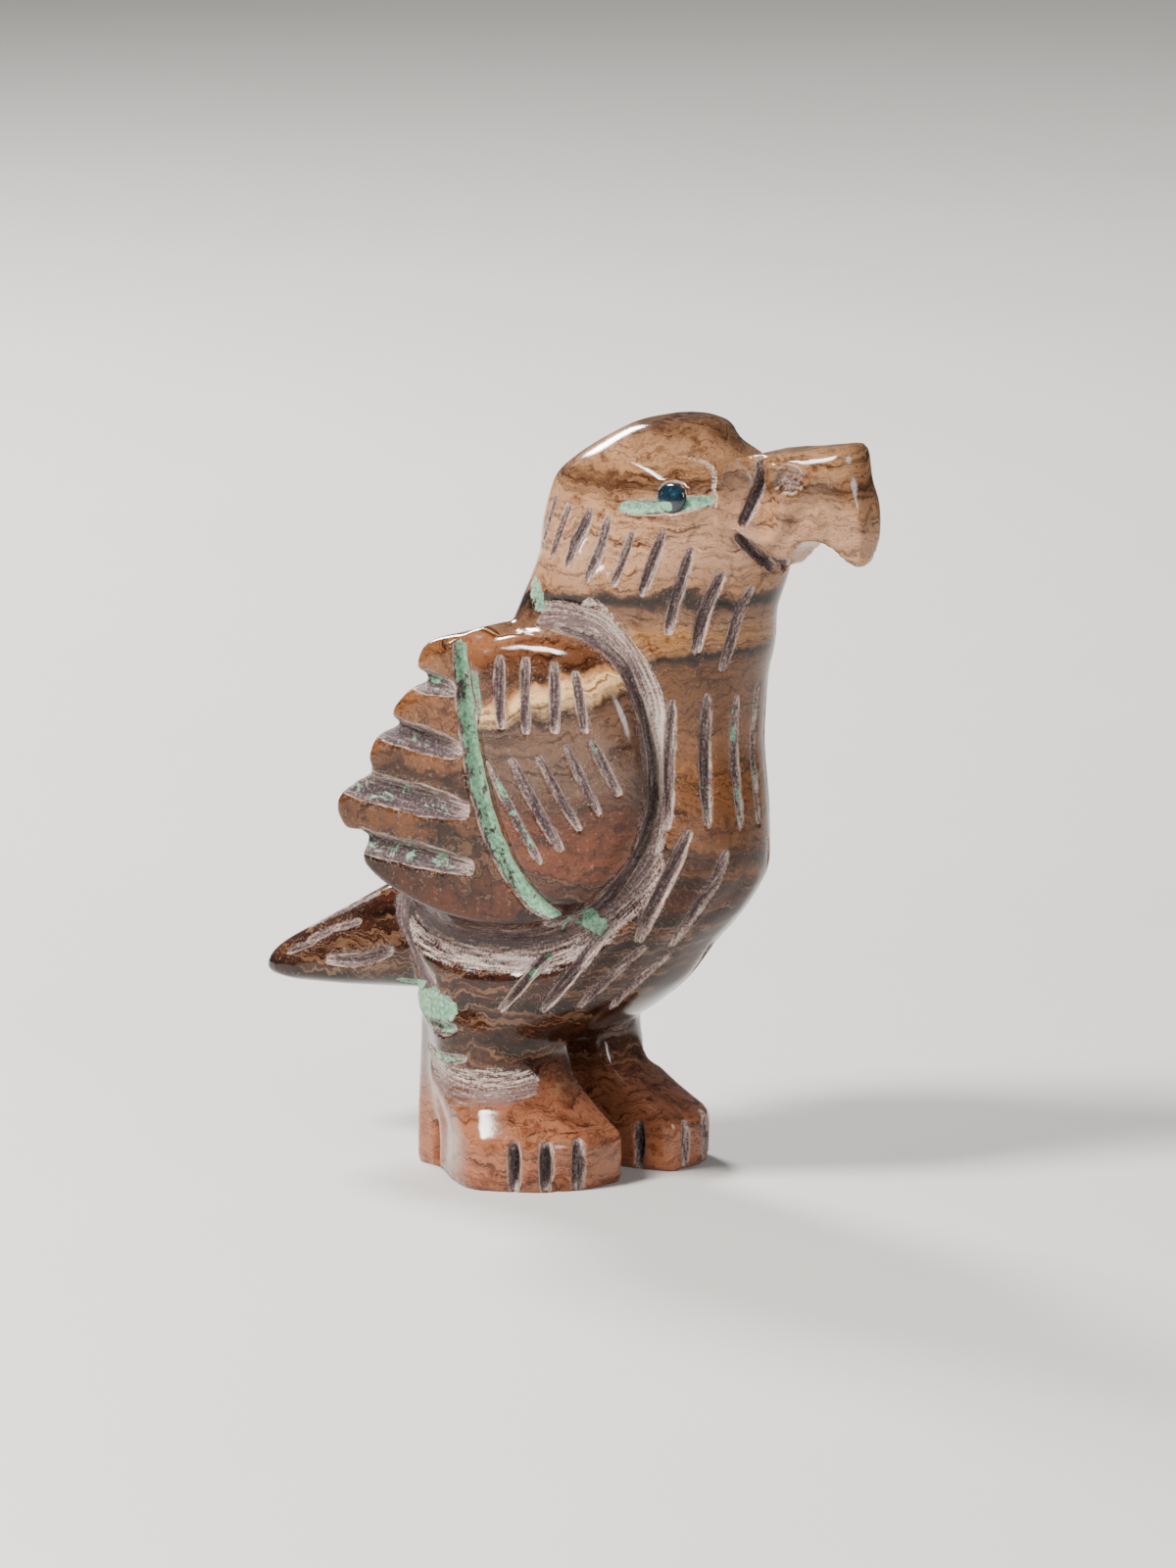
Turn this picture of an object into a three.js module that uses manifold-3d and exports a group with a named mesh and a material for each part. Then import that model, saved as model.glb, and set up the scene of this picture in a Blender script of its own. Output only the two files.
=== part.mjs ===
// A small standing eagle, carved from one block of banded marble, with a round dark stone inlaid for each
// eye.
// Millimetres, +Z up, beak towards +X, the bird's left wing towards +Y. The feet stand on z = 0.
import * as THREE from "three";
import { mergeVertices } from "three/addons/utils/BufferGeometryUtils.js";
import Module from "manifold-3d";

const wasm = await Module();
wasm.setup();

// Driving dimensions, in millimetres.
const birdHeight = 56;
const legGap = 3.2;
const beakTipWidth = 2.7;
const beakRootWidth = 8.6;
const tailWidth = 9.6;
const covertThickness = 5;
const covertEdgeRound = 1.5;
const featherThickness = 4;
const featherEdgeRound = 0.8;
const featherSunk = 1;
const strokeWidth = 1;
const strokeDepth = 0.5;
const nostrilDiameter = 2.2;
const nostrilDepth = 0.8;
const eyeDiameter = 2.1;
const eyeDepth = 1.3;
const eyeFit = 0.12;

// The figure is drawn on a grid that is 56 steps tall, so one step is a millimetre at the carved size.
const gridTall = 56;
const step = birdHeight / gridTall;

// How finely the round forms are faceted.
const trunkSides = 20;
const trunkRows = 18;
const legSides = 16;
const covertSides = 24;
const featherSides = 42;
const rimSteps = 2;
const beakArcSteps = 4;
const cutSides = 5;
const drillSides = 14;

const marble = new THREE.MeshStandardMaterial({ color: 0xa8764f, roughness: 0.35, metalness: 0 });
const eyeStone = new THREE.MeshStandardMaterial({ color: 0x14242e, roughness: 0.15, metalness: 0 });

// One power curve of a rounded section: 1 gives an ellipse, smaller values square it off.
function rounded(value, power) {
  return Math.sign(value) * Math.abs(value) ** power;
}

// A closed form wrapped over a sphere's grid: rings between two poles, each point placed by its row and side.
function wrapped(sides, rows, pointAt) {
  const geometry = new THREE.SphereGeometry(1, sides, rows);
  const place = geometry.attributes.position;
  const uv = geometry.attributes.uv;
  for (let i = 0; i < place.count; i += 1) {
    const row = Math.round((1 - uv.getY(i)) * rows);
    const side = Math.round(uv.getX(i) * sides) % sides;
    place.setXYZ(i, ...pointAt(row, side).toArray());
  }
  return geometry;
}

// A closed form through level sections. Each level has its height z, its back and front, its half breadth,
// how much narrower it is in front than in the middle, and the power of its roundness.
function loft(levels, sides) {
  const rows = levels.length + 1;
  return wrapped(sides, rows, (row, side) => {
    const section = levels[THREE.MathUtils.clamp(row - 1, 0, levels.length - 1)];
    const { z, back, front, half, narrow, power } = section;
    const size = row === 0 || row === rows ? 0 : 1;
    const turn = 2 * Math.PI * side / sides;
    const along = size * rounded(Math.cos(turn), power);
    const across = size * rounded(Math.sin(turn), power) * (1 - narrow * along);
    const x = THREE.MathUtils.lerp(back, front, (1 + along) / 2);
    return new THREE.Vector3(x, across * half, z).multiplyScalar(step);
  });
}

// Smooth levels between a few measured ones, from the top down.
const levelTension = 0.4;
function smoothLevels(measured, rows) {
  const curves = Object.keys(measured[0]).map((key) => [key, new THREE.CatmullRomCurve3(
    measured.map((section, i) => new THREE.Vector3(i, section[key], 0)), false, "catmullrom", levelTension)]);
  return Array.from({ length: rows }, (_, row) => {
    const spot = row / (rows - 1);
    return Object.fromEntries(curves.map(([key, curve]) => [key, curve.getPoint(spot).y]));
  });
}

// A smooth closed curve in the upright plane through the bird's middle, seen from its right.
function sideCurve(points) {
  return new THREE.CatmullRomCurve3(
    points.map(([x, z]) => new THREE.Vector3(x, 0, z)), true, "catmullrom", 0.5);
}

// A smooth closed curve in plan.
function planCurve(points) {
  return new THREE.CatmullRomCurve3(
    points.map(([x, y]) => new THREE.Vector3(x, y, 0)), true, "catmullrom", 0.5);
}

function level(z, back, front, half, narrow, power) {
  return { z, back, front, half, narrow, power };
}

// The trunk, from the crown down to the belly. The head is blunt where the beak starts.
const trunkLevels = [
  level(56.0, 6.6, 10.0, 1.6, 0.1, 1),
  level(55.4, 4.2, 11.0, 3.4, 0.1, 0.95),
  level(54.0, 1.9, 11.5, 4.7, 0.12, 0.95),
  level(52.6, 0.4, 13.7, 5.8, 0.1, 0.85),
  level(51.0, -1.4, 15.3, 6.6, 0.06, 0.72),
  level(48.0, -2.6, 15.4, 7.0, 0.08, 0.75),
  level(45.0, -3.2, 15.8, 7.2, 0.16, 0.85),
  level(42.0, -3.8, 14.5, 7.2, 0.18, 0.9),
  level(39.5, -5.4, 13.8, 7.6, 0.16, 0.9),
  level(36.5, -8.6, 13.0, 8.4, 0.14, 0.85),
  level(32.0, -10.4, 12.9, 8.9, 0.14, 0.85),
  level(27.0, -11.8, 13.4, 9.0, 0.14, 0.85),
  level(23.0, -13.0, 13.3, 8.9, 0.14, 0.85),
  level(20.0, -14.0, 11.4, 8.8, 0.1, 0.85),
  level(17.0, -14.2, 8.4, 8.8, 0.06, 0.8),
  level(14.0, -13.4, 5.6, 8.7, 0.0, 0.8),
  level(11.4, -12.8, 2.0, 8.5, -0.04, 0.78),
  level(9.4, -11.0, -1.8, 7.4, -0.1, 0.8),
];

// The bird's left leg. In plan it is a smooth ring at the ankle and a wider one at the sole, set off from
// the gap between the legs.
const ankleRing = [
  [-12.2, 1.0], [-12.6, 2.6], [-10.6, 4.4], [-8.0, 6.6], [-5.5, 7.3], [-3.4, 7.2],
  [-1.6, 6.0], [-0.6, 4.0], [-0.6, 1.8], [-1.3, 0.3], [-4.5, 0.0], [-9.0, 0.0],
];
const soleRing = [
  [-12.3, 1.0], [-12.8, 2.7], [-10.0, 4.0], [-6.2, 7.4], [-3.2, 9.3], [-0.6, 8.7],
  [1.9, 7.3], [3.5, 4.8], [3.8, 2.0], [3.2, 0.3], [-2.5, 0.0], [-9.0, 0.0],
];
// Each leg level is its height, how far it has spread from the ankle's ring to the sole's, and its size.
const legSpread = [
  [13.4, 0, 0.8], [11.6, 0, 0.97], [9.2, 0, 0.99], [7.4, 0.1, 1], [5.8, 0.42, 1], [4.3, 0.86, 1], [3.1, 1, 1],
  [0.6, 1, 1], [0, 1, 0.96],
];
const legMiddle = new THREE.Vector3(-5.6, 4.0, 0);

// How far each foot stands forward and outward of the drawn one: the left foot is set a little ahead.
const leftFootSet = [0.9, 0.7];
const rightFootSet = [0, 0];

function legGeometry([forward, outward]) {
  const ankle = planCurve(ankleRing).getPoints(legSides);
  const sole = planCurve(soleRing).getPoints(legSides);
  const rows = legSpread.length + 1;
  return wrapped(legSides, rows, (row, side) => {
    const [z, spread, size] = legSpread[THREE.MathUtils.clamp(row - 1, 0, legSpread.length - 1)];
    const turned = (legSides - side) % legSides;
    const ring = ankle[turned].clone().lerp(sole[turned], spread);
    const pole = row === 0 || row === rows;
    const point = legMiddle.clone().lerp(ring, pole ? 0 : size);
    point.x += forward * spread;
    point.y += outward * spread;
    point.z = z;
    point.multiplyScalar(step);
    point.y += legGap / 2;
    return point;
  });
}

// The tail runs back from the rump. It is lofted upright, its z the way back and its back and front the lower
// and upper faces, and then laid down.
const tailHalf = tailWidth / 2 / step;
const tailNarrow = 0.12;
const tailLevels = [
  level(26.9, 12.2, 13.6, tailHalf * 0.72, tailNarrow, 0.7),
  level(26.2, 11.8, 14.4, tailHalf * 0.84, tailNarrow, 0.6),
  level(24.0, 11.7, 15.6, tailHalf * 0.94, tailNarrow, 0.55),
  level(20.0, 11.8, 17.8, tailHalf, tailNarrow, 0.55),
  level(16.0, 12.0, 20.0, tailHalf, tailNarrow, 0.6),
  level(10.0, 12.4, 21.5, tailHalf, tailNarrow, 0.6),
];

// The half breadth of the wings, wider towards the back.
const wingFrontHalf = 8.3;
const wingFrontX = 9.7;
const wingFlare = 0.19;
function wingHalf(x) {
  return wingFrontHalf + (wingFrontX - x) * wingFlare;
}

// The covert is the large smooth shield in front, and the flight feathers lie lower behind it.
const covert = {
  outline: [
    [-4.0, 39.0], [-3.7, 36.0], [-3.2, 32.0], [-2.2, 27.8], [-0.6, 24.0], [1.6, 21.2], [3.6, 20.5],
    [6.2, 22.2], [8.2, 24.8], [9.1, 28.0], [9.3, 31.4],
    [8.6, 34.8], [6.9, 37.8], [4.4, 39.8], [0.6, 40.2], [-2.2, 39.8],
  ],
  sides: covertSides,
  middle: [3.3, 30.4],
  sunk: 0,
  thickness: covertThickness / step,
  edgeRound: covertEdgeRound / step,
};
const feathers = {
  outline: [
    [-2.0, 39.6], [-5.4, 39.7], [-7.8, 38.9], [-8.4, 37.3], [-7.8, 36.2],
    [-9.0, 35.6], [-10.4, 34.0], [-10.3, 32.8],
    [-11.6, 32.0], [-12.3, 30.4], [-12.1, 29.3],
    [-13.8, 28.2], [-14.8, 26.6], [-13.9, 24.8], [-12.7, 24.0],
    [-12.6, 22.6], [-10.6, 21.0], [-7.0, 19.5], [-3.0, 18.9], [1.0, 19.2], [4.0, 20.6], [2.0, 30.0],
  ],
  sides: featherSides,
  middle: [-5.3, 30.3],
  sunk: featherSunk / step,
  thickness: featherThickness / step,
  edgeRound: featherEdgeRound / step,
};

// A plate with a rounded rim on the bird's left side, swung out with the flare. Its rim is drawn in towards
// the middle.
function wingPlate(plate) {
  const outline = sideCurve(plate.outline).getPoints(plate.sides);
  const centre = new THREE.Vector3(plate.middle[0], 0, plate.middle[1]);
  const rows = rimSteps + 3;
  return wrapped(plate.sides, rows, (row, side) => {
    const pole = row === 0 || row === rows;
    const round = Math.PI / 2 * THREE.MathUtils.clamp((row - 2) / rimSteps, 0, 1);
    const point = pole ? centre.clone() : outline[side].clone();
    const inward = centre.clone().sub(point).normalize();
    point.addScaledVector(inward, plate.edgeRound * (1 - Math.cos(round)));
    const depth = row < 2 ? plate.thickness : plate.edgeRound * (1 - Math.sin(round));
    point.y = wingHalf(point.x) - plate.sunk - depth;
    return point.multiplyScalar(step);
  });
}

// The beak: a side outline with eased edges that thins towards its blunt front face.
const beakRootX = 14.0;
const beakFaceX = 15.7;
const beakTipX = 23.9;
const beakMiddle = new THREE.Vector3(20.8, 0, 51);
// From the middle of one side round to the other: the share of the half breadth, and of the edge's rounding.
const beakRings = [[1, 1], [0.92, 0.5], [0.6, 0.1], [-0.6, 0.1], [-0.92, 0.5], [-1, 1]];
// The edge is rounded more along the ridge, from nothing at the first height to all of it at the second.
const beakEdgeEase = 0.35;
const beakRidgeEase = 1.6;
const beakRidgeHeights = [50, 53];
// Below its middle the beak narrows to this share of its breadth at the chin.
const beakChinShare = 0.4;
const beakChinHeights = [45.7, 50];
function beakOutline() {
  const outline = new THREE.Shape();
  outline.moveTo(beakRootX, 53.2);
  outline.lineTo(22.4, 54.8);
  outline.quadraticCurveTo(23.0, 54.8, 23.2, 53.8);
  outline.quadraticCurveTo(24.1, 51.0, beakTipX, 48.0);
  outline.quadraticCurveTo(24.2, 46.5, 23.4, 46.5);
  outline.quadraticCurveTo(22.7, 46.5, 22.4, 47.4);
  outline.quadraticCurveTo(21.9, 48.7, 20.8, 48.6);
  outline.quadraticCurveTo(19.5, 48.4, 18.4, 45.7);
  outline.lineTo(15.0, 48.4);
  outline.lineTo(beakRootX, 48.6);
  return outline.getPoints(beakArcSteps).map((point) => new THREE.Vector3(point.x, 0, point.y));
}

function beakGeometry() {
  const outline = beakOutline();
  const rootHalf = beakRootWidth / 2 / step;
  const tipHalf = beakTipWidth / 2 / step;
  const rows = beakRings.length + 1;
  return wrapped(outline.length, rows, (row, side) => {
    const [across, rounding] = beakRings[THREE.MathUtils.clamp(row - 1, 0, beakRings.length - 1)];
    const point = row === 0 || row === rows ? beakMiddle.clone() : outline[side].clone();
    const ease = beakEdgeEase + beakRidgeEase * THREE.MathUtils.smoothstep(point.z, ...beakRidgeHeights);
    point.addScaledVector(beakMiddle.clone().sub(point).normalize(), ease * rounding);
    const share = (point.x - beakFaceX) / (beakTipX - beakFaceX);
    const lift = THREE.MathUtils.smoothstep(point.z, ...beakChinHeights);
    const half = THREE.MathUtils.lerp(rootHalf, tipHalf, share) * THREE.MathUtils.lerp(beakChinShare, 1, lift);
    point.y = across * half;
    return point.multiplyScalar(step);
  });
}

// A geometry as a solid that can be joined and cut, and back. Points closer than weldGap are one point.
const weldGap = 1e-4;
function solid(geometry) {
  const plain = geometry.index ? geometry.toNonIndexed() : geometry.clone();
  plain.deleteAttribute("normal");
  plain.deleteAttribute("uv");
  const merged = mergeVertices(plain, weldGap);
  return new wasm.Manifold(new wasm.Mesh({
    numProp: 3,
    vertProperties: merged.attributes.position.array,
    triVerts: new Uint32Array(merged.index.array),
  }));
}

function geometryOf(made) {
  const mesh = made.getMesh();
  const geometry = new THREE.BufferGeometry();
  geometry.setAttribute("position", new THREE.BufferAttribute(new Float32Array(mesh.vertProperties), 3));
  geometry.setIndex(new THREE.BufferAttribute(new Uint32Array(mesh.triVerts), 1));
  geometry.computeVertexNormals();
  return geometry;
}

function bothSides(made) {
  return made.add(made.mirror([0, 1, 0]));
}

const uncut = [
  solid(loft(smoothLevels(trunkLevels, trunkRows), trunkSides)),
  solid(loft(tailLevels, legSides).rotateY(-Math.PI / 2)),
  solid(beakGeometry()),
  solid(legGeometry(leftFootSet)),
  solid(legGeometry(rightFootSet)).mirror([0, 1, 0]),
  bothSides(solid(wingPlate(covert))),
  bothSides(solid(wingPlate(feathers))),
].reduce((whole, piece) => whole.add(piece));

// The cuts are laid on the skin of the uncut bird, found by looking at it from outside.
const skin = new THREE.Mesh(geometryOf(uncut));
const away = 60;
function onSkin(from, towards) {
  const direction = towards.clone().sub(from).normalize();
  const [hit] = new THREE.Raycaster(from, direction).intersectObject(skin);
  return { point: hit.point, normal: hit.face.normal.clone() };
}

// Each of these reads two measures as a place on the bird's left side.
function fromSide(x, z) {
  const from = new THREE.Vector3(x, away, z);
  return onSkin(from.multiplyScalar(step), new THREE.Vector3(x, 0, z).multiplyScalar(step));
}
const trunkAxisX = 3;
function aroundTrunk(degrees, z) {
  const turn = THREE.MathUtils.degToRad(degrees);
  const from = new THREE.Vector3(trunkAxisX + away * Math.cos(turn), away * Math.sin(turn), z);
  return onSkin(from.multiplyScalar(step), new THREE.Vector3(trunkAxisX, 0, z).multiplyScalar(step));
}
const footMiddle = [-4.4, 5.2];
function aroundFoot(hand) {
  return (degrees, z) => {
    const turn = THREE.MathUtils.degToRad(degrees);
    const middle = new THREE.Vector3(footMiddle[0], hand * footMiddle[1], z).multiplyScalar(step);
    const out = new THREE.Vector3(Math.cos(turn), hand * Math.sin(turn), 0);
    return onSkin(out.multiplyScalar(away * step).add(middle), middle);
  };
}
function fromAbove(x, y) {
  const from = new THREE.Vector3(x, y, away);
  return onSkin(from.multiplyScalar(step), new THREE.Vector3(x, y, 0).multiplyScalar(step));
}

// A cut along places on the skin, as deep as a grinding wheel leaves it, running out to nothing at both ends.
// The points at its ends stand endLift clear of the skin.
const endLift = 0.15;
function cutter(places, width, depth, blunt) {
  const line = new THREE.CatmullRomCurve3(places.map((place) => place.point));
  const rows = places.length + 1;
  return solid(wrapped(cutSides, rows, (row, side) => {
    const share = row / rows;
    const centre = line.getPoint(share);
    const place = places[Math.round(share * (places.length - 1))];
    const along = line.getTangent(share);
    const across = place.normal.clone().cross(along).normalize();
    const out = along.clone().cross(across).normalize();
    const size = row === 0 || row === rows ? 0 : Math.sin(Math.PI * share) ** blunt;
    const turn = 2 * Math.PI * (side + 0.5) / cutSides;
    centre.addScaledVector(out, size * depth * Math.cos(turn) + (1 - size) * endLift * step);
    return centre.addScaledVector(across, size * width / 2 * Math.sin(turn));
  }));
}

// One stroke from start to end. Its size is a share of the usual stroke's width and depth.
const strokeBlunt = 0.6;
function stroke(look, start, end, size, overrun = 0) {
  const middle = start.map((value, i) => (value + end[i]) / 2);
  const places = [start, middle, end].map((place) => look(...place));
  const [first, second] = places;
  first.point.add(first.point.clone().sub(second.point).normalize().multiplyScalar(overrun * step));
  return cutter(places, size * strokeWidth, size * strokeDepth, strokeBlunt);
}

// A row of strokes, spaced evenly between its first and last one, in an arch where it has one.
function strokeRow(look, row) {
  return Array.from({ length: row.count }, (_, i) => {
    const share = i / (row.count - 1);
    const [start, end] = row.first.map(
      (place, e) => place.map((value, axis) => THREE.MathUtils.lerp(value, row.last[e][axis], share)));
    start[1] += (row.arch ?? 0) * Math.sin(Math.PI * share);
    return stroke(look, start, end, row.size, row.overrun);
  });
}

// Each row has the start and the end of its first and last stroke.
const sideRows = [
  // Upper and lower rows on the wing covert.
  { count: 5, first: [[-2.7, 37.8], [-3.0, 33.2]], last: [[4.9, 38.2], [5.8, 33.4]], size: 1, arch: 0.9 },
  { count: 5, first: [[-2.0, 31.3], [2.2, 23.7]], last: [[6.0, 33.4], [8.0, 29.0]], size: 1 },
  // Wide cuts that part the flight feathers.
  { count: 4, first: [[-7.2, 36.1], [-5.2, 35.6]], last: [[-12.0, 24.1], [-3.6, 22.8]], size: 1.85,
    overrun: 2.5 },
];
const aroundRows = [
  // Neck feathers, at the side and in front.
  { count: 6, first: [[110, 50.0], [122, 46.2]], last: [[40, 47.9], [50, 43.0]], size: 0.9 },
  { count: 3, first: [[31, 46.8], [38, 40.8]], last: [[10, 44.2], [17, 38.2]], size: 1 },
  // Upright strokes on the breast, and slanting ones below it and on the belly.
  { count: 3, first: [[7, 36.2], [6, 26.4]], last: [[36, 35.8], [38, 27.2]], size: 1 },
  { count: 2, first: [[29, 26.8], [50, 18.4]], last: [[14, 25.0], [29, 17.8]], size: 1.2 },
  { count: 4, first: [[88, 19.4], [120, 13.4]], last: [[24, 17.2], [78, 12.8]], size: 1 },
];
// Short strokes on the top of the tail.
const tailRow = {
  count: 2, first: [[-17.6, 1.1], [-23.4, 1.0]], last: [[-18.0, 3.1], [-23.0, 2.7]], size: 0.85,
};

// Three grooves divide the toes.
const toeRow = { count: 3, first: [[12, 3.5], [12, 0.2]], last: [[48, 3.7], [48, 0.2]], size: 1.1 };

// Single strokes: on the side of the tail, through the eye, and the two that part the beak from the head.
const singleStrokes = [
  stroke(fromSide, [-20.0, 14.0], [-14.8, 15.2], 1.1),
  stroke(fromSide, [6.7, 49.5], [12.6, 50.5], 0.9),
  stroke(fromSide, [16.0, 53.0], [15.3, 48.8], 1.3),
  stroke(fromSide, [14.9, 48.6], [18.0, 46.1], 1.3),
];

// A broad hollow sweeps from the nape round the front of the wing and back under it to the tail.
const hollowPlaces = [
  [112, 41.2], [92, 41.5], [73, 40.9], [55, 38.6], [46, 36.0], [43, 32.6], [42, 29.2], [46, 25.6], [56, 22.2],
  [74, 19.6], [100, 17.9], [125, 17.3], [141, 17.4],
];
const hollowWidth = 3.2;
const hollowDepth = 0.75;

// A channel between the covert and the flight feathers.
const channelPlaces = [[-4.9, 38.6], [-4.5, 36.0], [-4.0, 32.0], [-3.0, 27.6], [-1.5, 24.0], [0.6, 21.3]];
const channelWidth = 1.4;
const channelDepth = 0.8;
const longBlunt = 0.3;
const longCuts = [
  cutter(hollowPlaces.map((place) => aroundTrunk(...place)), hollowWidth, hollowDepth, longBlunt),
  cutter(channelPlaces.map((place) => fromSide(...place)), channelWidth, channelDepth, longBlunt),
];

// The nostril and the eye socket are drilled square to the skin, and start clear of it.
const nostrilPlace = [18.9, 52.4];
const eyePlace = [10.8, 50.6];
const drillClear = 1;
function drilled(place, diameter, depth, proud) {
  const length = depth + proud;
  const geometry = new THREE.CylinderGeometry(diameter / 2, diameter / 2, length, drillSides);
  geometry.translate(0, proud - length / 2, 0);
  const turn = new THREE.Quaternion().setFromUnitVectors(new THREE.Vector3(0, 1, 0), place.normal);
  geometry.applyQuaternion(turn);
  return geometry.translate(...place.point.toArray());
}

const eyeSeat = fromSide(...eyePlace);
const pairedCuts = [
  ...sideRows.flatMap((row) => strokeRow(fromSide, row)),
  ...aroundRows.flatMap((row) => strokeRow(aroundTrunk, row)),
  ...strokeRow(fromAbove, tailRow),
  ...singleStrokes,
  ...longCuts,
  solid(drilled(fromSide(...nostrilPlace), nostrilDiameter, nostrilDepth, drillClear)),
  solid(drilled(eyeSeat, eyeDiameter + 2 * eyeFit, eyeDepth + eyeFit, drillClear)),
];
const toeCuts = [1, -1].flatMap((hand) => strokeRow(aroundFoot(hand), toeRow));
const bird = [...pairedCuts.map(bothSides), ...toeCuts].reduce((body, cut) => body.subtract(cut), uncut);

const bodyMesh = new THREE.Mesh(geometryOf(bird), marble);
bodyMesh.name = "eagle_body";

const leftEye = new THREE.Mesh(drilled(eyeSeat, eyeDiameter, eyeDepth, 0), eyeStone);
leftEye.name = "eye_left";

const rightEye = new THREE.Mesh(geometryOf(solid(leftEye.geometry).mirror([0, 1, 0])), eyeStone);
rightEye.name = "eye_right";

// The origin is under the middle of the whole figure.
const eagle = new THREE.Group();
eagle.add(bodyMesh, leftEye, rightEye);
const extent = new THREE.Box3().setFromObject(bodyMesh);
eagle.position.set(-(extent.min.x + extent.max.x) / 2, -(extent.min.y + extent.max.y) / 2, -extent.min.z);

export default eagle;
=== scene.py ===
"""A small standing eagle, carved from one block of banded stone, with a dark stone inlaid for each eye."""
import logging
import math
from collections.abc import Iterable
from dataclasses import dataclass, replace
from enum import Enum
from functools import cached_property

import bmesh
import bpy
import numpy as np
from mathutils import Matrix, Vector
from mathutils.bvhtree import BVHTree


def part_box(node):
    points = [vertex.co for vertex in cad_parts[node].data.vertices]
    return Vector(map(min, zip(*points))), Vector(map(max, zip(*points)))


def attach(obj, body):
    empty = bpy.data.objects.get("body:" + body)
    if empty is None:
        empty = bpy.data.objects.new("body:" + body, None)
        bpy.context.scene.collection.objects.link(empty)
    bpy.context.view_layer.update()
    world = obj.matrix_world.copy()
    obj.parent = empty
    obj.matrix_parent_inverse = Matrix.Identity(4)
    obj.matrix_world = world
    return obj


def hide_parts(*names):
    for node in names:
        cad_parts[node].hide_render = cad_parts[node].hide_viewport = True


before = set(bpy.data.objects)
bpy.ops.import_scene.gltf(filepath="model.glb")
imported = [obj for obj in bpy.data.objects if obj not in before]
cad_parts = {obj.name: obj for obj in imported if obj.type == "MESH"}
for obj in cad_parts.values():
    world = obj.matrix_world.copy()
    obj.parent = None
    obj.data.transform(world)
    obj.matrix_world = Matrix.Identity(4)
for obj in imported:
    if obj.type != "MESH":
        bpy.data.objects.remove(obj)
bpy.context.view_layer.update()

log = logging.getLogger("eagle")

# The figure is drawn in millimetres, beak towards +X and the bird's left towards +Y, feet on z = 0.
MM = 0.001
TAIL_TIP_X = -26.9
BODY_NODE = "eagle_body"
EYE_NODES = {1: "eye_left", -1: "eye_right"}
HANDS = (1, -1)
SHIFT = Vector((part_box(BODY_NODE)[0].x / MM - TAIL_TIP_X, 0.0, 0.0))

Pair = tuple[float, float]
Spot = tuple[float, float, float]
Colour = tuple[float, float, float, float]


def curve_through(
    points: Iterable[tuple[float, ...]], count: int, closed: bool, ease: float = 0.5
) -> np.ndarray:
    """Smooth points along a curve that passes through a few given ones.

    Args:
        points: The given points, all of one length.
        count: How many points come back, the first at the start of the curve.
        closed: Whether the curve returns to its start.
        ease: How round the curve runs between its points.

    Returns:
        The points, one to a row.
    """
    given = np.array(list(points), float)

    def at(place: np.ndarray) -> np.ndarray:
        """The given points at some places, which may lie past the ends."""
        return given[place % len(given)] if closed else given[np.clip(place, 0, len(given) - 1)]

    spans = len(given) if closed else len(given) - 1
    spots = np.linspace(0.0, spans, count, endpoint=not closed)
    index = np.minimum(spots.astype(int), spans - 1)
    share = (spots - index)[:, None]
    start, end = at(index), at(index + 1)
    leave = ease * (end - at(index - 1))
    arrive = ease * (at(index + 2) - start)
    square, cube = share**2, share**3
    return (
        (2 * cube - 3 * square + 1) * start
        + (cube - 2 * square + share) * leave
        + (3 * square - 2 * cube) * end
        + (cube - square) * arrive
    )


def ramp(value: np.ndarray, low: float, high: float) -> np.ndarray:
    """A smooth step from 0 at low to 1 at high."""
    share = np.clip((value - low) / (high - low), 0.0, 1.0)
    return share * share * (3.0 - 2.0 * share)


def bump(value: np.ndarray, low: float, high: float, soft: float) -> np.ndarray:
    """A smooth rise to 1 between low and high, and 0 outside them."""
    return ramp(value, low - soft, low + soft) * (1.0 - ramp(value, high - soft, high + soft))


def blurred(rows: np.ndarray) -> np.ndarray:
    """Averages each row with its two neighbours and keeps the ends.

    Args:
        rows: The rows.

    Returns:
        The averaged rows.
    """
    out = rows.copy()
    out[1:-1] = (rows[:-2] + 2 * rows[1:-1] + rows[2:]) / 4
    return out


def rounded(value: float, power: float) -> float:
    """A value of a circle squared off by a power below 1."""
    return math.copysign(abs(value) ** power, value)


class Form:
    """A closed form made of rings between two poles, in millimetres."""

    sides: int
    rows: int

    def place(self, row: int, side: int) -> Spot:
        """The point for a row and a number round the ring."""
        raise NotImplementedError

    def size(self, row: int) -> float:
        """0 at the poles, where a ring closes to a point, and 1 between them."""
        return 0.0 if row in (0, self.rows) else 1.0

    def add(self, bm: bmesh.types.BMesh) -> None:
        """Adds the form to a mesh.

        Args:
            bm: The mesh that the form is added to.
        """
        made = bmesh.ops.create_uvsphere(bm, u_segments=self.sides, v_segments=self.rows, radius=1.0)
        for vert in made["verts"]:
            row = round(math.acos(max(-1.0, min(1.0, vert.co.z))) / math.pi * self.rows)
            side = round(math.atan2(vert.co.y, vert.co.x) / math.tau * self.sides) % self.sides
            vert.co = self.place(row, side)


class Loft(Form):
    """A form whose rings are read along a few given levels."""

    EASE = 0.4
    levels: tuple[tuple[float, ...], ...]

    @cached_property
    def rings(self) -> np.ndarray:
        """The measures of every ring."""
        return curve_through(self.levels, self.rows - 1, closed=False, ease=self.EASE)

    def ring(self, row: int) -> np.ndarray:
        """The measures of the ring at a row."""
        return self.rings[min(max(row - 1, 0), len(self.rings) - 1)]


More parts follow.
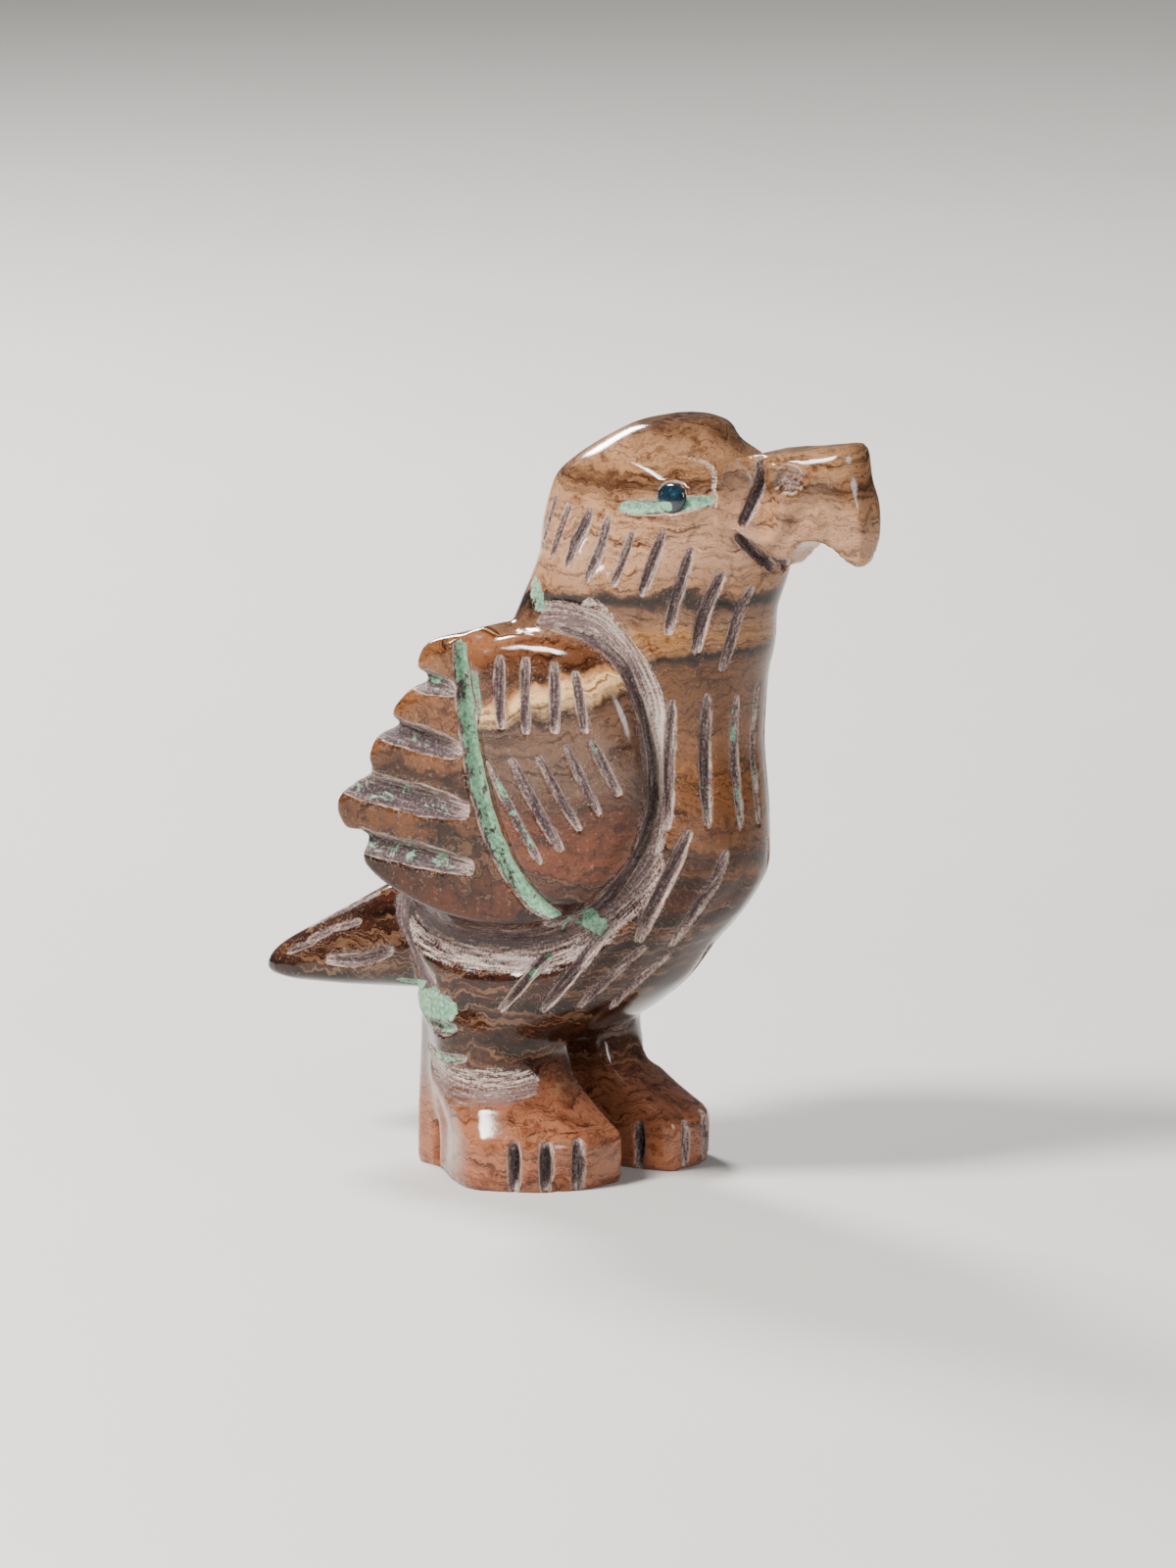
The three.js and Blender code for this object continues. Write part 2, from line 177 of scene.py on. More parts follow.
@dataclass(frozen=True)
class Trunk(Loft):
    """Head, neck, breast and belly as one form through level sections.

    Each level holds its height, its back and front, its half breadth, how much narrower it is in
    front, and its roundness.
    """

    levels: tuple[tuple[float, ...], ...] = (
        (55.5, 6.6, 10.0, 1.6, 0.1, 1.0), (54.9, 4.2, 11.0, 3.4, 0.1, 0.95),
        (53.7, 1.9, 11.6, 4.8, 0.12, 0.95), (52.6, 0.3, 13.1, 5.9, 0.1, 0.85),
        (51.0, -1.4, 15.1, 6.6, 0.06, 0.74), (48.0, -2.6, 15.5, 7.0, 0.12, 0.84),
        (45.0, -3.2, 15.9, 7.2, 0.22, 0.94), (42.0, -4.6, 14.8, 7.2, 0.2, 0.94),
        (39.5, -5.8, 14.3, 7.6, 0.16, 0.9), (36.5, -8.6, 13.3, 8.4, 0.14, 0.85),
        (32.0, -10.4, 12.9, 8.9, 0.14, 0.85), (27.0, -11.8, 13.4, 9.0, 0.14, 0.85),
        (23.0, -13.0, 13.4, 8.9, 0.14, 0.85), (20.0, -14.0, 11.5, 8.8, 0.1, 0.85),
        (17.0, -14.2, 8.4, 8.8, 0.06, 0.8), (14.0, -13.4, 5.6, 8.7, 0.0, 0.8),
        (11.4, -12.8, 2.0, 8.5, -0.04, 0.78), (9.4, -11.0, -1.8, 7.4, -0.1, 0.8),
    )
    sides: int = 96
    rows: int = 110

    def place(self, row: int, side: int) -> Spot:
        """Places a point of the form.

        Args:
            row: Its row, from the first pole.
            side: Its number round the ring.

        Returns:
            The point.
        """
        z, back, front, half, narrow, power = self.ring(row)
        turn = math.tau * side / self.sides
        along = self.size(row) * rounded(math.cos(turn), power)
        across = self.size(row) * rounded(math.sin(turn), power) * (1.0 - narrow * along)
        return ((back + front) / 2 + along * (front - back) / 2, across * half, z)


@dataclass(frozen=True)
class Tail(Loft):
    """The wedge of the tail, running back from the rump.

    Each level holds its reach back, its underside and top, its half breadth and its roundness.
    """

    NARROW = 0.12
    levels: tuple[tuple[float, ...], ...] = (
        (-26.85, 12.4, 13.4, 3.3, 0.7), (-26.5, 12.0, 14.0, 3.8, 0.65), (-25.6, 11.8, 14.7, 4.2, 0.6),
        (-24.0, 11.7, 15.6, 4.5, 0.55), (-20.0, 11.8, 17.8, 4.8, 0.55), (-16.0, 12.0, 20.0, 4.8, 0.6),
        (-10.0, 12.4, 21.5, 4.8, 0.6),
    )
    sides: int = 64
    rows: int = 50

    def place(self, row: int, side: int) -> Spot:
        """Places a point of the form.

        Args:
            row: Its row, from the first pole.
            side: Its number round the ring.

        Returns:
            The point.
        """
        x, low, high, half, power = self.ring(row)
        turn = math.tau * side / self.sides
        lift = self.size(row) * rounded(math.cos(turn), power)
        across = self.size(row) * rounded(math.sin(turn), power) * (1.0 - self.NARROW * lift)
        return (x, across * half, (low + high) / 2 + lift * (high - low) / 2)


@dataclass(frozen=True)
class Leg(Loft):
    """One leg with its foot: an ankle ring and a wider sole ring in plan, blended by height.

    Each level holds its height, how far it has spread from the ankle's ring to the sole's, and its size.
    """

    hand: int
    forward: float
    outward: float
    gap: float = 3.2
    ankle: tuple[Pair, ...] = (
        (-12.2, 1.0), (-12.6, 2.6), (-10.6, 4.4), (-8.0, 6.6), (-5.5, 7.3), (-3.4, 7.2), (-1.6, 6.0),
        (-0.6, 4.0), (-0.6, 1.8), (-1.3, 0.3), (-4.5, 0.0), (-9.0, 0.0),
    )
    sole: tuple[Pair, ...] = (
        (-12.3, 1.0), (-12.8, 2.7), (-10.0, 4.0), (-6.2, 7.4), (-3.2, 9.3), (-0.6, 8.7), (1.9, 7.3),
        (3.5, 4.8), (3.8, 2.0), (3.2, 0.3), (-2.5, 0.0), (-9.0, 0.0),
    )
    levels: tuple[tuple[float, ...], ...] = (
        (13.4, 0.0, 0.8), (11.6, 0.0, 0.97), (9.2, 0.0, 0.99), (7.4, 0.1, 1.0), (6.2, 0.32, 1.0),
        (5.0, 0.6, 1.0), (4.1, 0.84, 1.0), (3.6, 0.97, 1.0), (3.0, 1.01, 1.0), (0.6, 1.0, 1.0),
        (0.0, 1.0, 0.97),
    )
    middle: Pair = (-5.6, 4.0)
    sides: int = 80
    rows: int = 44

    @cached_property
    def plans(self) -> tuple[np.ndarray, np.ndarray]:
        """The ankle's ring and the sole's, smooth."""
        return tuple(curve_through(plan, self.sides, closed=True) for plan in (self.ankle, self.sole))

    def place(self, row: int, side: int) -> Spot:
        """Places a point of the form.

        Args:
            row: Its row, from the first pole.
            side: Its number round the ring.

        Returns:
            The point.
        """
        z, spread, size = self.ring(row)
        turned = side if self.hand < 0 else (self.sides - side) % self.sides
        ankle, sole = (plan[turned] for plan in self.plans)
        middle = np.array(self.middle)
        x, y = middle + (ankle + (sole - ankle) * spread - middle) * size * self.size(row)
        return (x + self.forward * spread, self.hand * (y + self.outward * spread + self.gap / 2), z)


@dataclass(frozen=True)
class Beak(Form):
    """The hooked beak: a side outline with rounded edges that thins towards its blunt front.

    Args:
        outline: Its outline, along and height.
        middle: The place that the outline closes to on both sides.
        root_half: Half its breadth at the root.
        tip_half: Half its breadth at the tip.
        root_x: Where the root is.
        tip_x: Where the tip is.
        edge: How far its edges are rounded.
        top_edge: How much further the upper edges are.
        top_heights: Where that begins and where it is full.
        chin_share: How narrow it is underneath, as a share.
        chin_heights: Where it is that narrow, and where it is at its full breadth.
        sides: Points round the outline.
        arc: Steps round each edge.
    """

    EASE = 0.35
    THIN = 0.8
    outline: tuple[Pair, ...] = (
        (14.0, 53.2), (18.2, 54.05), (22.3, 54.8), (22.95, 54.55), (23.2, 53.8), (23.65, 51.6),
        (23.85, 49.6), (23.85, 47.7), (23.6, 46.4), (22.9, 46.0), (22.1, 46.4), (21.5, 47.2), (20.6, 47.75),
        (19.4, 47.7), (18.2, 46.9), (17.2, 45.6), (16.2, 46.6), (15.0, 48.4), (14.0, 48.6), (13.6, 50.9),
    )
    middle: Pair = (20.8, 51.0)
    root_half: float = 4.3
    tip_half: float = 1.35
    root_x: float = 15.7
    tip_x: float = 23.9
    edge: float = 0.3
    top_edge: float = 1.5
    top_heights: Pair = (50.0, 53.0)
    chin_share: float = 0.4
    chin_heights: Pair = (45.7, 49.0)
    sides: int = 120
    arc: int = 7

    @property
    def rows(self) -> int:
        """Steps from pole to pole."""
        return 2 * self.arc + 1

    @cached_property
    def rim(self) -> np.ndarray:
        """The outline, smooth."""
        return curve_through(self.outline, self.sides, closed=True, ease=self.EASE)

    def place(self, row: int, side: int) -> Spot:
        """Places a point of the form.

        Args:
            row: Its row, from the first pole.
            side: Its number round the ring.

        Returns:
            The point.
        """
        hand = 1 if row <= self.arc else -1
        step = min(max(row - 1 if hand > 0 else self.rows - 1 - row, 0), self.arc - 1)
        turn = math.pi / 2 * step / (self.arc - 1)
        middle = np.array(self.middle)
        point = middle.copy() if row in (0, self.rows) else self.rim[side].copy()
        reach = np.linalg.norm(middle - point)
        ease = self.edge + self.top_edge * float(ramp(point[1], *self.top_heights))
        if reach > 0:
            point += (middle - point) / reach * ease * (1.0 - math.sin(turn))
        share = min(max((point[0] - self.root_x) / (self.tip_x - self.root_x), -0.2), 1.0)
        half = self.root_half + (self.tip_half - self.root_half) * share
        half *= self.chin_share + (1.0 - self.chin_share) * float(ramp(point[1], *self.chin_heights))
        drop = min(ease, half * self.THIN) * (1.0 - math.cos(turn))
        return (point[0], hand * (half - drop), point[1])


@dataclass(frozen=True)
class WingPlate(Form):
    """A wing form cut from the flank: an upright plate with a rounded rim, swung out towards the back.

    Args:
        outline: Its outline, along and height.
        middle: The place that the outline closes to.
        sunk: How far it lies under the wing's outermost skin.
        thick: How thick it is.
        rim: How far its rim is rounded.
        dome: How much it swells towards its middle.
        hand: 1 on the bird's left, -1 on its right.
        front_half: Half the breadth across both wings at their front.
        front_x: Where that front is.
        flare: How much wider they get towards the back.
        sides: Points round the outline.
        arc: Steps round the rim.
        inner: Steps from the rim to the middle.
    """

    outline: tuple[Pair, ...]
    middle: Pair
    sunk: float
    thick: float
    rim: float
    dome: float
    hand: int = 1
    front_half: float = 8.3
    front_x: float = 9.7
    flare: float = 0.19
    sides: int = 132
    arc: int = 6
    inner: int = 7

    @property
    def rows(self) -> int:
        """Steps from pole to pole."""
        return self.arc + self.inner + 2

    @cached_property
    def edge(self) -> np.ndarray:
        """The outline, smooth."""
        return curve_through(self.outline, self.sides, closed=True)

    def half(self, x: float | np.ndarray) -> float | np.ndarray:
        """Half the breadth across both wings at a place along the bird."""
        return self.front_half + (self.front_x - x) * self.flare

    def place(self, row: int, side: int) -> Spot:
        """Places a point of the form.

        Args:
            row: Its row, from the first pole.
            side: Its number round the ring.

        Returns:
            The point.
        """
        point = self.edge[side if self.hand > 0 else (self.sides - side) % self.sides].copy()
        middle = np.array(self.middle)
        turn = math.pi / 2 * min(max((row - 2) / (self.arc - 1), 0.0), 1.0)
        reach = np.linalg.norm(middle - point)
        point += (middle - point) / reach * self.rim * (1.0 - math.cos(turn))
        share = min(max((row - self.arc - 1) / (self.inner + 1), 0.0), 1.0)
        point = middle.copy() if row == 0 else point + (middle - point) * share
        depth = self.thick if row < 2 else self.rim * (1.0 - math.sin(turn))
        lift = self.dome * (1.0 - (1.0 - share) ** 2)
        return (point[0], self.hand * (self.half(point[0]) - self.sunk - depth + lift), point[1])


COVERT = WingPlate(
    outline=(
        (-4.0, 39.0), (-3.7, 36.0), (-3.2, 32.0), (-2.2, 27.8), (-0.6, 24.0), (1.6, 21.2), (3.6, 20.5),
        (6.2, 22.2), (8.2, 24.8), (9.1, 28.0), (9.3, 31.4), (8.6, 34.8), (6.9, 37.8), (4.4, 39.8),
        (0.6, 40.2), (-2.2, 39.8),
    ),
    middle=(3.3, 30.4), sunk=0.0, thick=5.0, rim=1.7, dome=0.35,
)
FEATHERS = WingPlate(
    outline=(
        (-2.0, 39.6), (-5.4, 39.7), (-7.8, 38.9), (-8.4, 37.3), (-7.8, 36.2), (-9.0, 35.6), (-10.4, 34.0),
        (-10.3, 32.8), (-11.6, 32.0), (-12.3, 30.4), (-12.1, 29.3), (-13.8, 28.2), (-14.8, 26.6),
        (-13.9, 24.8), (-12.7, 24.0), (-12.6, 22.6), (-10.6, 21.0), (-7.0, 19.5), (-3.0, 18.9), (1.0, 19.2),
        (4.0, 20.6), (2.0, 30.0),
    ),
    middle=(-5.3, 30.3), sunk=1.0, thick=4.0, rim=1.0, dome=0.0,
)


class Look(Enum):
    """The direction from which a line is laid on the stone."""

    SIDE = "along and height, seen square to the flank"
    AROUND = "degrees from the front and height, seen towards the trunk's axis"
    ABOVE = "along and across, seen from above"
    FOOT = "degrees from the front and height, seen towards the middle of the foot"


@dataclass(frozen=True)
class Line:
    """A wheel cut laid on the stone, in millimetres.

    Args:
        look: How the points are read.
        points: Two measures for each point.
        width: Full width of the cut.
        depth: Depth at its middle.
        blunt: How suddenly its ends run out, small for a blunt end.
        raw: How unpolished it is, 0 to 1.
        green: How much polishing compound is left in it, 0 to 1.
        pale: How far its stone is crushed white, 0 to 1; on the brow's edge it also paints a highlight.
        broad: True for a hollow with soft sides.
        run_on: How far it runs on past its first point, out of the stone.
        hands: The sides of the bird that have it.
    """

    look: Look
    points: tuple[Pair, ...]
    width: float
    depth: float
    blunt: float = 0.5
    raw: float = 1.0
    green: float = 0.0
    pale: float = 0.0
    broad: bool = False
    run_on: float = 0.0
    hands: tuple[int, ...] = HANDS


@dataclass(frozen=True)
class Row:
    """Strokes spaced evenly between a first and a last one, each a little off its place as cut by hand.

    Args:
        look: How the points are read.
        first: Both ends of the first stroke.
        last: Both ends of the last stroke.
        count: How many strokes there are.
        width: Full width of each.
        depth: Depth of each at its middle.
        arch: How far the middle strokes begin higher.
        green: How much compound is left in each in turn.
        run_on: How far they run on out of the stone.
        wander: How far each end may be off its place.
    """

    CENTRE_WANDER = 0.4
    WIDTHS = (0.85, 1.15)
    DEPTHS = (0.85, 1.2)
    look: Look
    first: tuple[Pair, Pair]
    last: tuple[Pair, Pair]
    count: int
    width: float
    depth: float
    arch: float = 0.0
    green: tuple[float, ...] = (0.0,)
    run_on: float = 0.0
    wander: float = 0.25

    def lines(self, rng: np.random.Generator) -> list[Line]:
        """The strokes of the row.

        Args:
            rng: Draws how far each stroke is off its place.

        Returns:
            One line for each stroke and hand.
        """
        made = []
        for hand in HANDS:
            for i in range(self.count):
                share = i / max(self.count - 1, 1)
                ends = np.array(self.first) * (1 - share) + np.array(self.last) * share
                ends[0, 1] += self.arch * math.sin(math.pi * share)
                ends += rng.uniform(-1, 1, (2, 2)) * self.wander
                middle = ends.mean(axis=0) + rng.uniform(-1, 1, 2) * self.wander * self.CENTRE_WANDER
                points = tuple(tuple(point) for point in (ends[0], middle, ends[1]))
                width = self.width * rng.uniform(*self.WIDTHS)
                green = self.green[i % len(self.green)]
                depth = self.depth * rng.uniform(*self.DEPTHS)
                made.append(
                    Line(self.look, points, width, depth, green=green, run_on=self.run_on, hands=(hand,))
                )
        return made


ROWS = (
    # Wing covert, upper and lower row.
    Row(
        Look.SIDE, ((-2.8, 37.7), (-3.0, 33.2)), ((4.9, 38.3), (5.8, 33.4)), 5, 0.82, 0.42, arch=0.9,
        green=(0.75, 0.2, 0.0, 0.1, 0.0)
    ),
    Row(
        Look.SIDE, ((-2.1, 31.2), (2.2, 23.8)), ((6.0, 33.4), (8.1, 29.2)), 5, 0.8, 0.42, arch=-0.3,
        green=(0.6, 0.35, 0.2, 0.1, 0.45)
    ),
    # Neck, at the side and in front.
    Row(
        Look.AROUND, ((110, 49.9), (122, 46.4)), ((40, 47.9), (50, 43.0)), 6, 0.78, 0.36, wander=0.4,
        green=(0.2, 0.0, 0.3, 0.0, 0.1, 0.0)
    ),
    Row(
        Look.AROUND, ((31, 46.8), (38, 40.7)), ((10, 44.2), (17, 38.0)), 3, 0.85, 0.42, wander=0.4,
        green=(0.0, 0.35, 0.3)
    ),
    # Breast, upright, then slanting under it and on the belly.
    Row(
        Look.AROUND, ((7, 36.4), (6, 26.4)), ((36, 35.9), (38, 27.0)), 3, 0.82, 0.45, wander=0.35,
        green=(0.55, 0.45, 0.0)
    ),
    Row(
        Look.AROUND, ((29, 27.0), (50, 18.4)), ((14, 25.2), (29, 17.8)), 2, 1.1, 0.55, wander=0.35,
        green=(0.35, 0.2)
    ),
    Row(
        Look.AROUND, ((88, 19.5), (122, 12.9)), ((24, 17.2), (78, 12.6)), 4, 0.85, 0.45, wander=0.4,
        green=(0.6, 0.4, 0.1, 0.3)
    ),
    # Short strokes on the shoulder of the tail.
    Row(
        Look.SIDE, ((-17.6, 17.0), (-20.6, 15.9)), ((-21.6, 15.2), (-24.6, 13.8)), 3, 0.6, 0.25, arch=0.4,
        wander=0.15
    ),
    # Wide cuts that part the flight feathers and run out past their tips.
    Row(
        Look.SIDE, ((-7.4, 36.2), (-5.2, 35.7)), ((-12.4, 24.2), (-3.6, 22.9)), 4, 2.0, 0.8, wander=0.15,
        green=(0.55, 0.42, 0.5, 0.5), run_on=5.0
    ),
    # Toe grooves, and short strokes on top of the tail.
    Row(Look.FOOT, ((12, 3.7), (12, -0.6)), ((48, 3.9), (48, -0.6)), 3, 1.15, 0.85, wander=0.2),
    Row(Look.ABOVE, ((-17.4, 0.8), (-23.8, 0.9)), ((-16.8, 3.6), (-23.4, 3.2)), 3, 0.7, 0.28),
)

LINES = (
    # A broad raw hollow sweeps round the wing, from the nape down the breast and back under it to the tail.
    Line(
        Look.AROUND, ((117, 41.2), (95, 41.6), (73, 41.0), (57, 39.0), (47, 36.2), (43.5, 32.6),
        (42.5, 29.2), (46, 25.6), (56, 22.2)), 2.5, 0.7, blunt=0.25, raw=0.57, green=0.2, pale=0.15,
        broad=True
    ),
    Line(
        Look.AROUND, ((44, 25.0), (56, 21.9), (74, 19.5), (100, 17.6), (125, 17.0), (141, 17.2),
        (158, 18.4)), 3.8, 1.05, blunt=0.25, raw=0.5, green=0.26, broad=True
    ),
    # White bruises where the wheel turned.
    Line(Look.AROUND, ((84, 42.6), (70, 41.0), (60, 38.6)), 2.8, 0.06, raw=0.56, pale=0.5, broad=True),
    Line(Look.AROUND, ((47, 37.4), (43, 33.4), (43, 30.0)), 1.9, 0.06, raw=0.54, pale=0.6, broad=True),
    Line(Look.AROUND, ((128, 43.6), (112, 41.8)), 2.0, 0.05, raw=0.4, pale=0.3, green=0.75, broad=True),
    Line(Look.AROUND, ((86, 19.8), (70, 18.9)), 1.9, 0.05, raw=0.5, green=0.8, broad=True),
    # The dark line cut close round the covert.
    Line(
        Look.SIDE, ((1.4, 40.7), (3.8, 40.4), (6.1, 39.4), (8.0, 37.1), (9.3, 33.3), (9.6, 29.0),
        (8.8, 25.3), (6.7, 22.0), (4.1, 19.9), (1.2, 19.2)), 0.85, 0.8, blunt=0.2, green=0.1
    ),
    # The channel between covert and flight feathers.
    Line(
        Look.SIDE, ((-4.9, 39.3), (-4.5, 36.0), (-4.0, 32.0), (-3.0, 27.6), (-1.5, 24.0), (0.6, 21.3),
        (2.8, 19.9)), 1.5, 0.8, blunt=0.2, green=0.8
    ),
    Line(Look.SIDE, ((-3.3, 37.6), (-3.1, 34.0)), 1.2, 0.1, raw=0.5, green=0.66),
    # The line through the eye, and the two cuts that part beak from head.
    Line(Look.SIDE, ((6.4, 49.5), (9.6, 49.85), (13.6, 50.5)), 1.15, 0.28, green=0.9),
    Line(Look.SIDE, ((16.1, 54.0), (15.8, 51.6), (15.1, 48.7)), 0.95, 0.6, blunt=0.2),
    Line(Look.AROUND, ((16.5, 48.0), (9.5, 46.5), (1.5, 45.1)), 1.0, 0.65, blunt=0.25),
    # The worn edge of the brow, in front of the eye, as a pale line that also paints the edge's highlight.
    Line(
        Look.SIDE, ((10.2, 53.3), (11.6, 52.9), (12.7, 52.2), (13.5, 51.2), (13.7, 49.9)), 0.6, 0.06,
        raw=0.44, pale=0.9
    ),
    # The notch in the heel, and a chip between two toes of the right foot.
    Line(Look.SIDE, ((-10.4, 3.3), (-10.2, 0.1)), 1.3, 1.1, blunt=0.2, raw=0.0),
    Line(Look.FOOT, ((25, 1.0), (18, 0.1)), 1.5, 0.55, blunt=0.2, raw=0.3, hands=(-1,)),
    # Two more toe grooves, which show on the front of the left foot.
    Line(Look.FOOT, ((-6, 3.6), (-6, -0.6)), 1.0, 0.6, hands=(1,)),
    Line(Look.FOOT, ((-24, 3.5), (-24, -0.6)), 0.9, 0.6, hands=(1,)),
    # Tail: one long stroke at the side.
    Line(Look.SIDE, ((-20.6, 13.9), (-17.4, 14.2), (-14.4, 15.3)), 0.9, 0.42, green=0.2),
    # Raw scoops at the ankle and the tail's root, and small touches of the wheel above the heel.
    Line(
        Look.FOOT, ((168, 7.3), (130, 7.0), (90, 7.0), (50, 7.2), (18, 7.6)), 3.2, 0.45, raw=0.5, pale=0.2,
        broad=True
    ),
    Line(
        Look.SIDE, ((-13.6, 20.6), (-13.2, 17.6), (-11.6, 15.4), (-8.4, 13.6)), 2.8, 0.45, raw=0.6,
        green=0.2, broad=True
    ),
    Line(Look.SIDE, ((-11.4, 11.8), (-9.0, 12.4), (-6.2, 12.2)), 2.6, 0.1, raw=0.5, green=0.92, broad=True),
    Line(Look.SIDE, ((-11.2, 11.0), (-8.4, 10.7), (-6.0, 11.0)), 0.9, 0.4, green=0.66),
    Line(Look.SIDE, ((-10.6, 8.9), (-7.4, 8.7), (-5.0, 9.0)), 0.7, 0.2, green=0.62),
    Line(Look.SIDE, ((-14.6, 13.0), (-12.4, 12.9), (-10.0, 13.6)), 1.0, 0.1, raw=0.5, green=0.9),
)


@dataclass(frozen=True)
class Facet:
    """A flat left by a grinding wheel: what stands past its plane is brought back, inside a soft ball.

    Args:
        point: A point of the plane, on the bird's left.
        normal: The way out of the stone.
        middle: The middle of the ball.
        reach: How far the ball reaches.
    """

    FIRM = 0.8
    point: Spot
    normal: Spot
    middle: Spot
    reach: float

    def grind(self, co: np.ndarray, hand: int) -> np.ndarray:
        """Grinds the flat on one side of the bird.

        Args:
            co: The points of the stone.
            hand: 1 on the bird's left, -1 on its right.

        Returns:
            The moved points.
        """
        mirror = np.array([1.0, hand, 1.0])
        normal = np.array(self.normal) * mirror
        normal /= np.linalg.norm(normal)
        proud = np.clip((co - np.array(self.point) * mirror) @ normal, 0.0, None)
        away = np.linalg.norm(co - np.array(self.middle) * mirror, axis=1)
        near = 1.0 - ramp(away, self.reach * self.FIRM, self.reach)
        return co - normal * (proud * near)[:, None]


FACETS = (
    # The flat side of the face, and the flat before it down to the beak.
    Facet((10.8, 6.15, 50.6), (-0.02, 1.0, 0.12), (9.0, 6.2, 50.0), 7.0),
    Facet((13.7, 4.5, 50.4), (0.70, 0.70, 0.16), (14.0, 4.4, 50.4), 4.6),
)


class Stone:
    """The block being carved: its points, its faces and what the wheel leaves on each point."""

    VOXEL = 0.36
    SPACING = 9
    BLURS = 4
    CAST_FROM = 60.0
    TRUNK_AXIS_X = 3.0
    FOOT_MIDDLE = (-4.4, 5.2)

    def __init__(self, rough: bmesh.types.BMesh) -> None:
        """Fuses overlapping forms into one skin.

        Args:
            rough: The overlapping forms. It is freed.
        """
        mesh = bpy.data.meshes.new("rough")
        rough.to_mesh(mesh)
        rough.free()
        block = bpy.data.objects.new("rough", mesh)
        bpy.context.scene.collection.objects.link(block)
        fuse = block.modifiers.new("fuse", "REMESH")
        fuse.mode = "VOXEL"
        fuse.voxel_size = self.VOXEL
        fuse.adaptivity = 0.0
        fused = block.evaluated_get(bpy.context.evaluated_depsgraph_get()).to_mesh()
        self.bm = bmesh.new()
        self.bm.from_mesh(fused)
        bpy.data.objects.remove(block)
        bpy.data.meshes.remove(mesh)
        self.bm.verts.ensure_lookup_table()

    def points(self) -> np.ndarray:
        """The points of the stone, one to a row."""
        return np.array([vert.co[:] for vert in self.bm.verts])

    def move_to(self, co: np.ndarray) -> None:
        """Puts every point in a new place.

        Args:
            co: The new places.
        """
        for vert, place in zip(self.bm.verts, co):
            vert.co = place
        self.bm.normal_update()

    def relax(self, rounds: int, shrink: float = 0.5, swell: float = -0.52) -> None:
        """Smooths the skin without making it smaller.

        Args:
            rounds: How many times each step is done.
            shrink: Share of the way to the neighbours' middle.
            swell: The step that follows and gives the size back.
        """
        co = self.points()
        ends = np.array([[vert.index for vert in edge.verts] for edge in self.bm.edges])
        degree = np.bincount(ends.ravel(), minlength=len(co))[:, None]
        for _ in range(rounds):
            for share in (shrink, swell):
                total = np.zeros_like(co)
                for axis in range(3):
                    total[:, axis] = np.bincount(ends[:, 0], co[ends[:, 1], axis], len(co))
                    total[:, axis] += np.bincount(ends[:, 1], co[ends[:, 0], axis], len(co))
                co = co + share * (total / degree - co)
        self.move_to(co)

    def cast(
        self, tree: BVHTree, look: Look, first: float, second: float, hand: int
    ) -> tuple[Vector, Vector] | None:
        """Finds a place on the skin.

        Args:
            tree: The skin.
            look: How the two measures are read.
            first: The first measure.
            second: The second measure.
            hand: 1 on the bird's left, -1 on its right.

        Returns:
            The place and the way out of the stone, or None where the look misses it.
        """
        if look is Look.SIDE:
            start, aim = Vector((first, hand * self.CAST_FROM, second)), Vector((0, -hand, 0))
        elif look is Look.ABOVE:
            start, aim = Vector((first, hand * second, self.CAST_FROM)), Vector((0, 0, -1))
        else:
            turn = math.radians(first)
            aim = -Vector((math.cos(turn), hand * math.sin(turn), 0))
            x, y = (self.TRUNK_AXIS_X, 0.0) if look is Look.AROUND else self.FOOT_MIDDLE
            start = Vector((x, hand * y, second)) - aim * self.CAST_FROM
        place, normal, _, _ = tree.ray_cast(start, aim)
        return None if place is None else (place, normal)

    def lay(self, line: Line, hand: int, tree: BVHTree) -> tuple[np.ndarray, np.ndarray] | None:
        """Lays a line on the skin.

        Args:
            line: The line.
            hand: The side of the bird.
            tree: The skin.

        Returns:
            Its points and the ways out of the stone, or None where less than two points meet the stone.
        """
        spots = curve_through(line.points, self.SPACING * (len(line.points) - 1) + 1, closed=False)
        hits = [hit for hit in (self.cast(tree, line.look, a, b, hand) for a, b in spots) if hit]
        if len(hits) < 2:
            return None
        ways = np.array([way[:] for _, way in hits])
        for _ in range(self.BLURS):
            ways = blurred(ways)
        path = np.array([place[:] for place, _ in hits])
        if line.run_on:
            ahead = path[0] - path[1]
            path = np.vstack([path[0] + ahead / np.linalg.norm(ahead) * line.run_on, path])
            ways = np.vstack([ways[0], ways])
        return path, ways / np.linalg.norm(ways, axis=1)[:, None]

    def refine(self, near: np.ndarray) -> None:
        """Halves the mesh's edges where it is to be cut finely.

        Args:
            near: True for the points of that region.
        """
        edges = [edge for edge in self.bm.edges if all(near[vert.index] for vert in edge.verts)]
        bmesh.ops.subdivide_edges(self.bm, edges=edges, cuts=1, use_grid_fill=True)
        self.bm.verts.index_update()
        self.bm.verts.ensure_lookup_table()


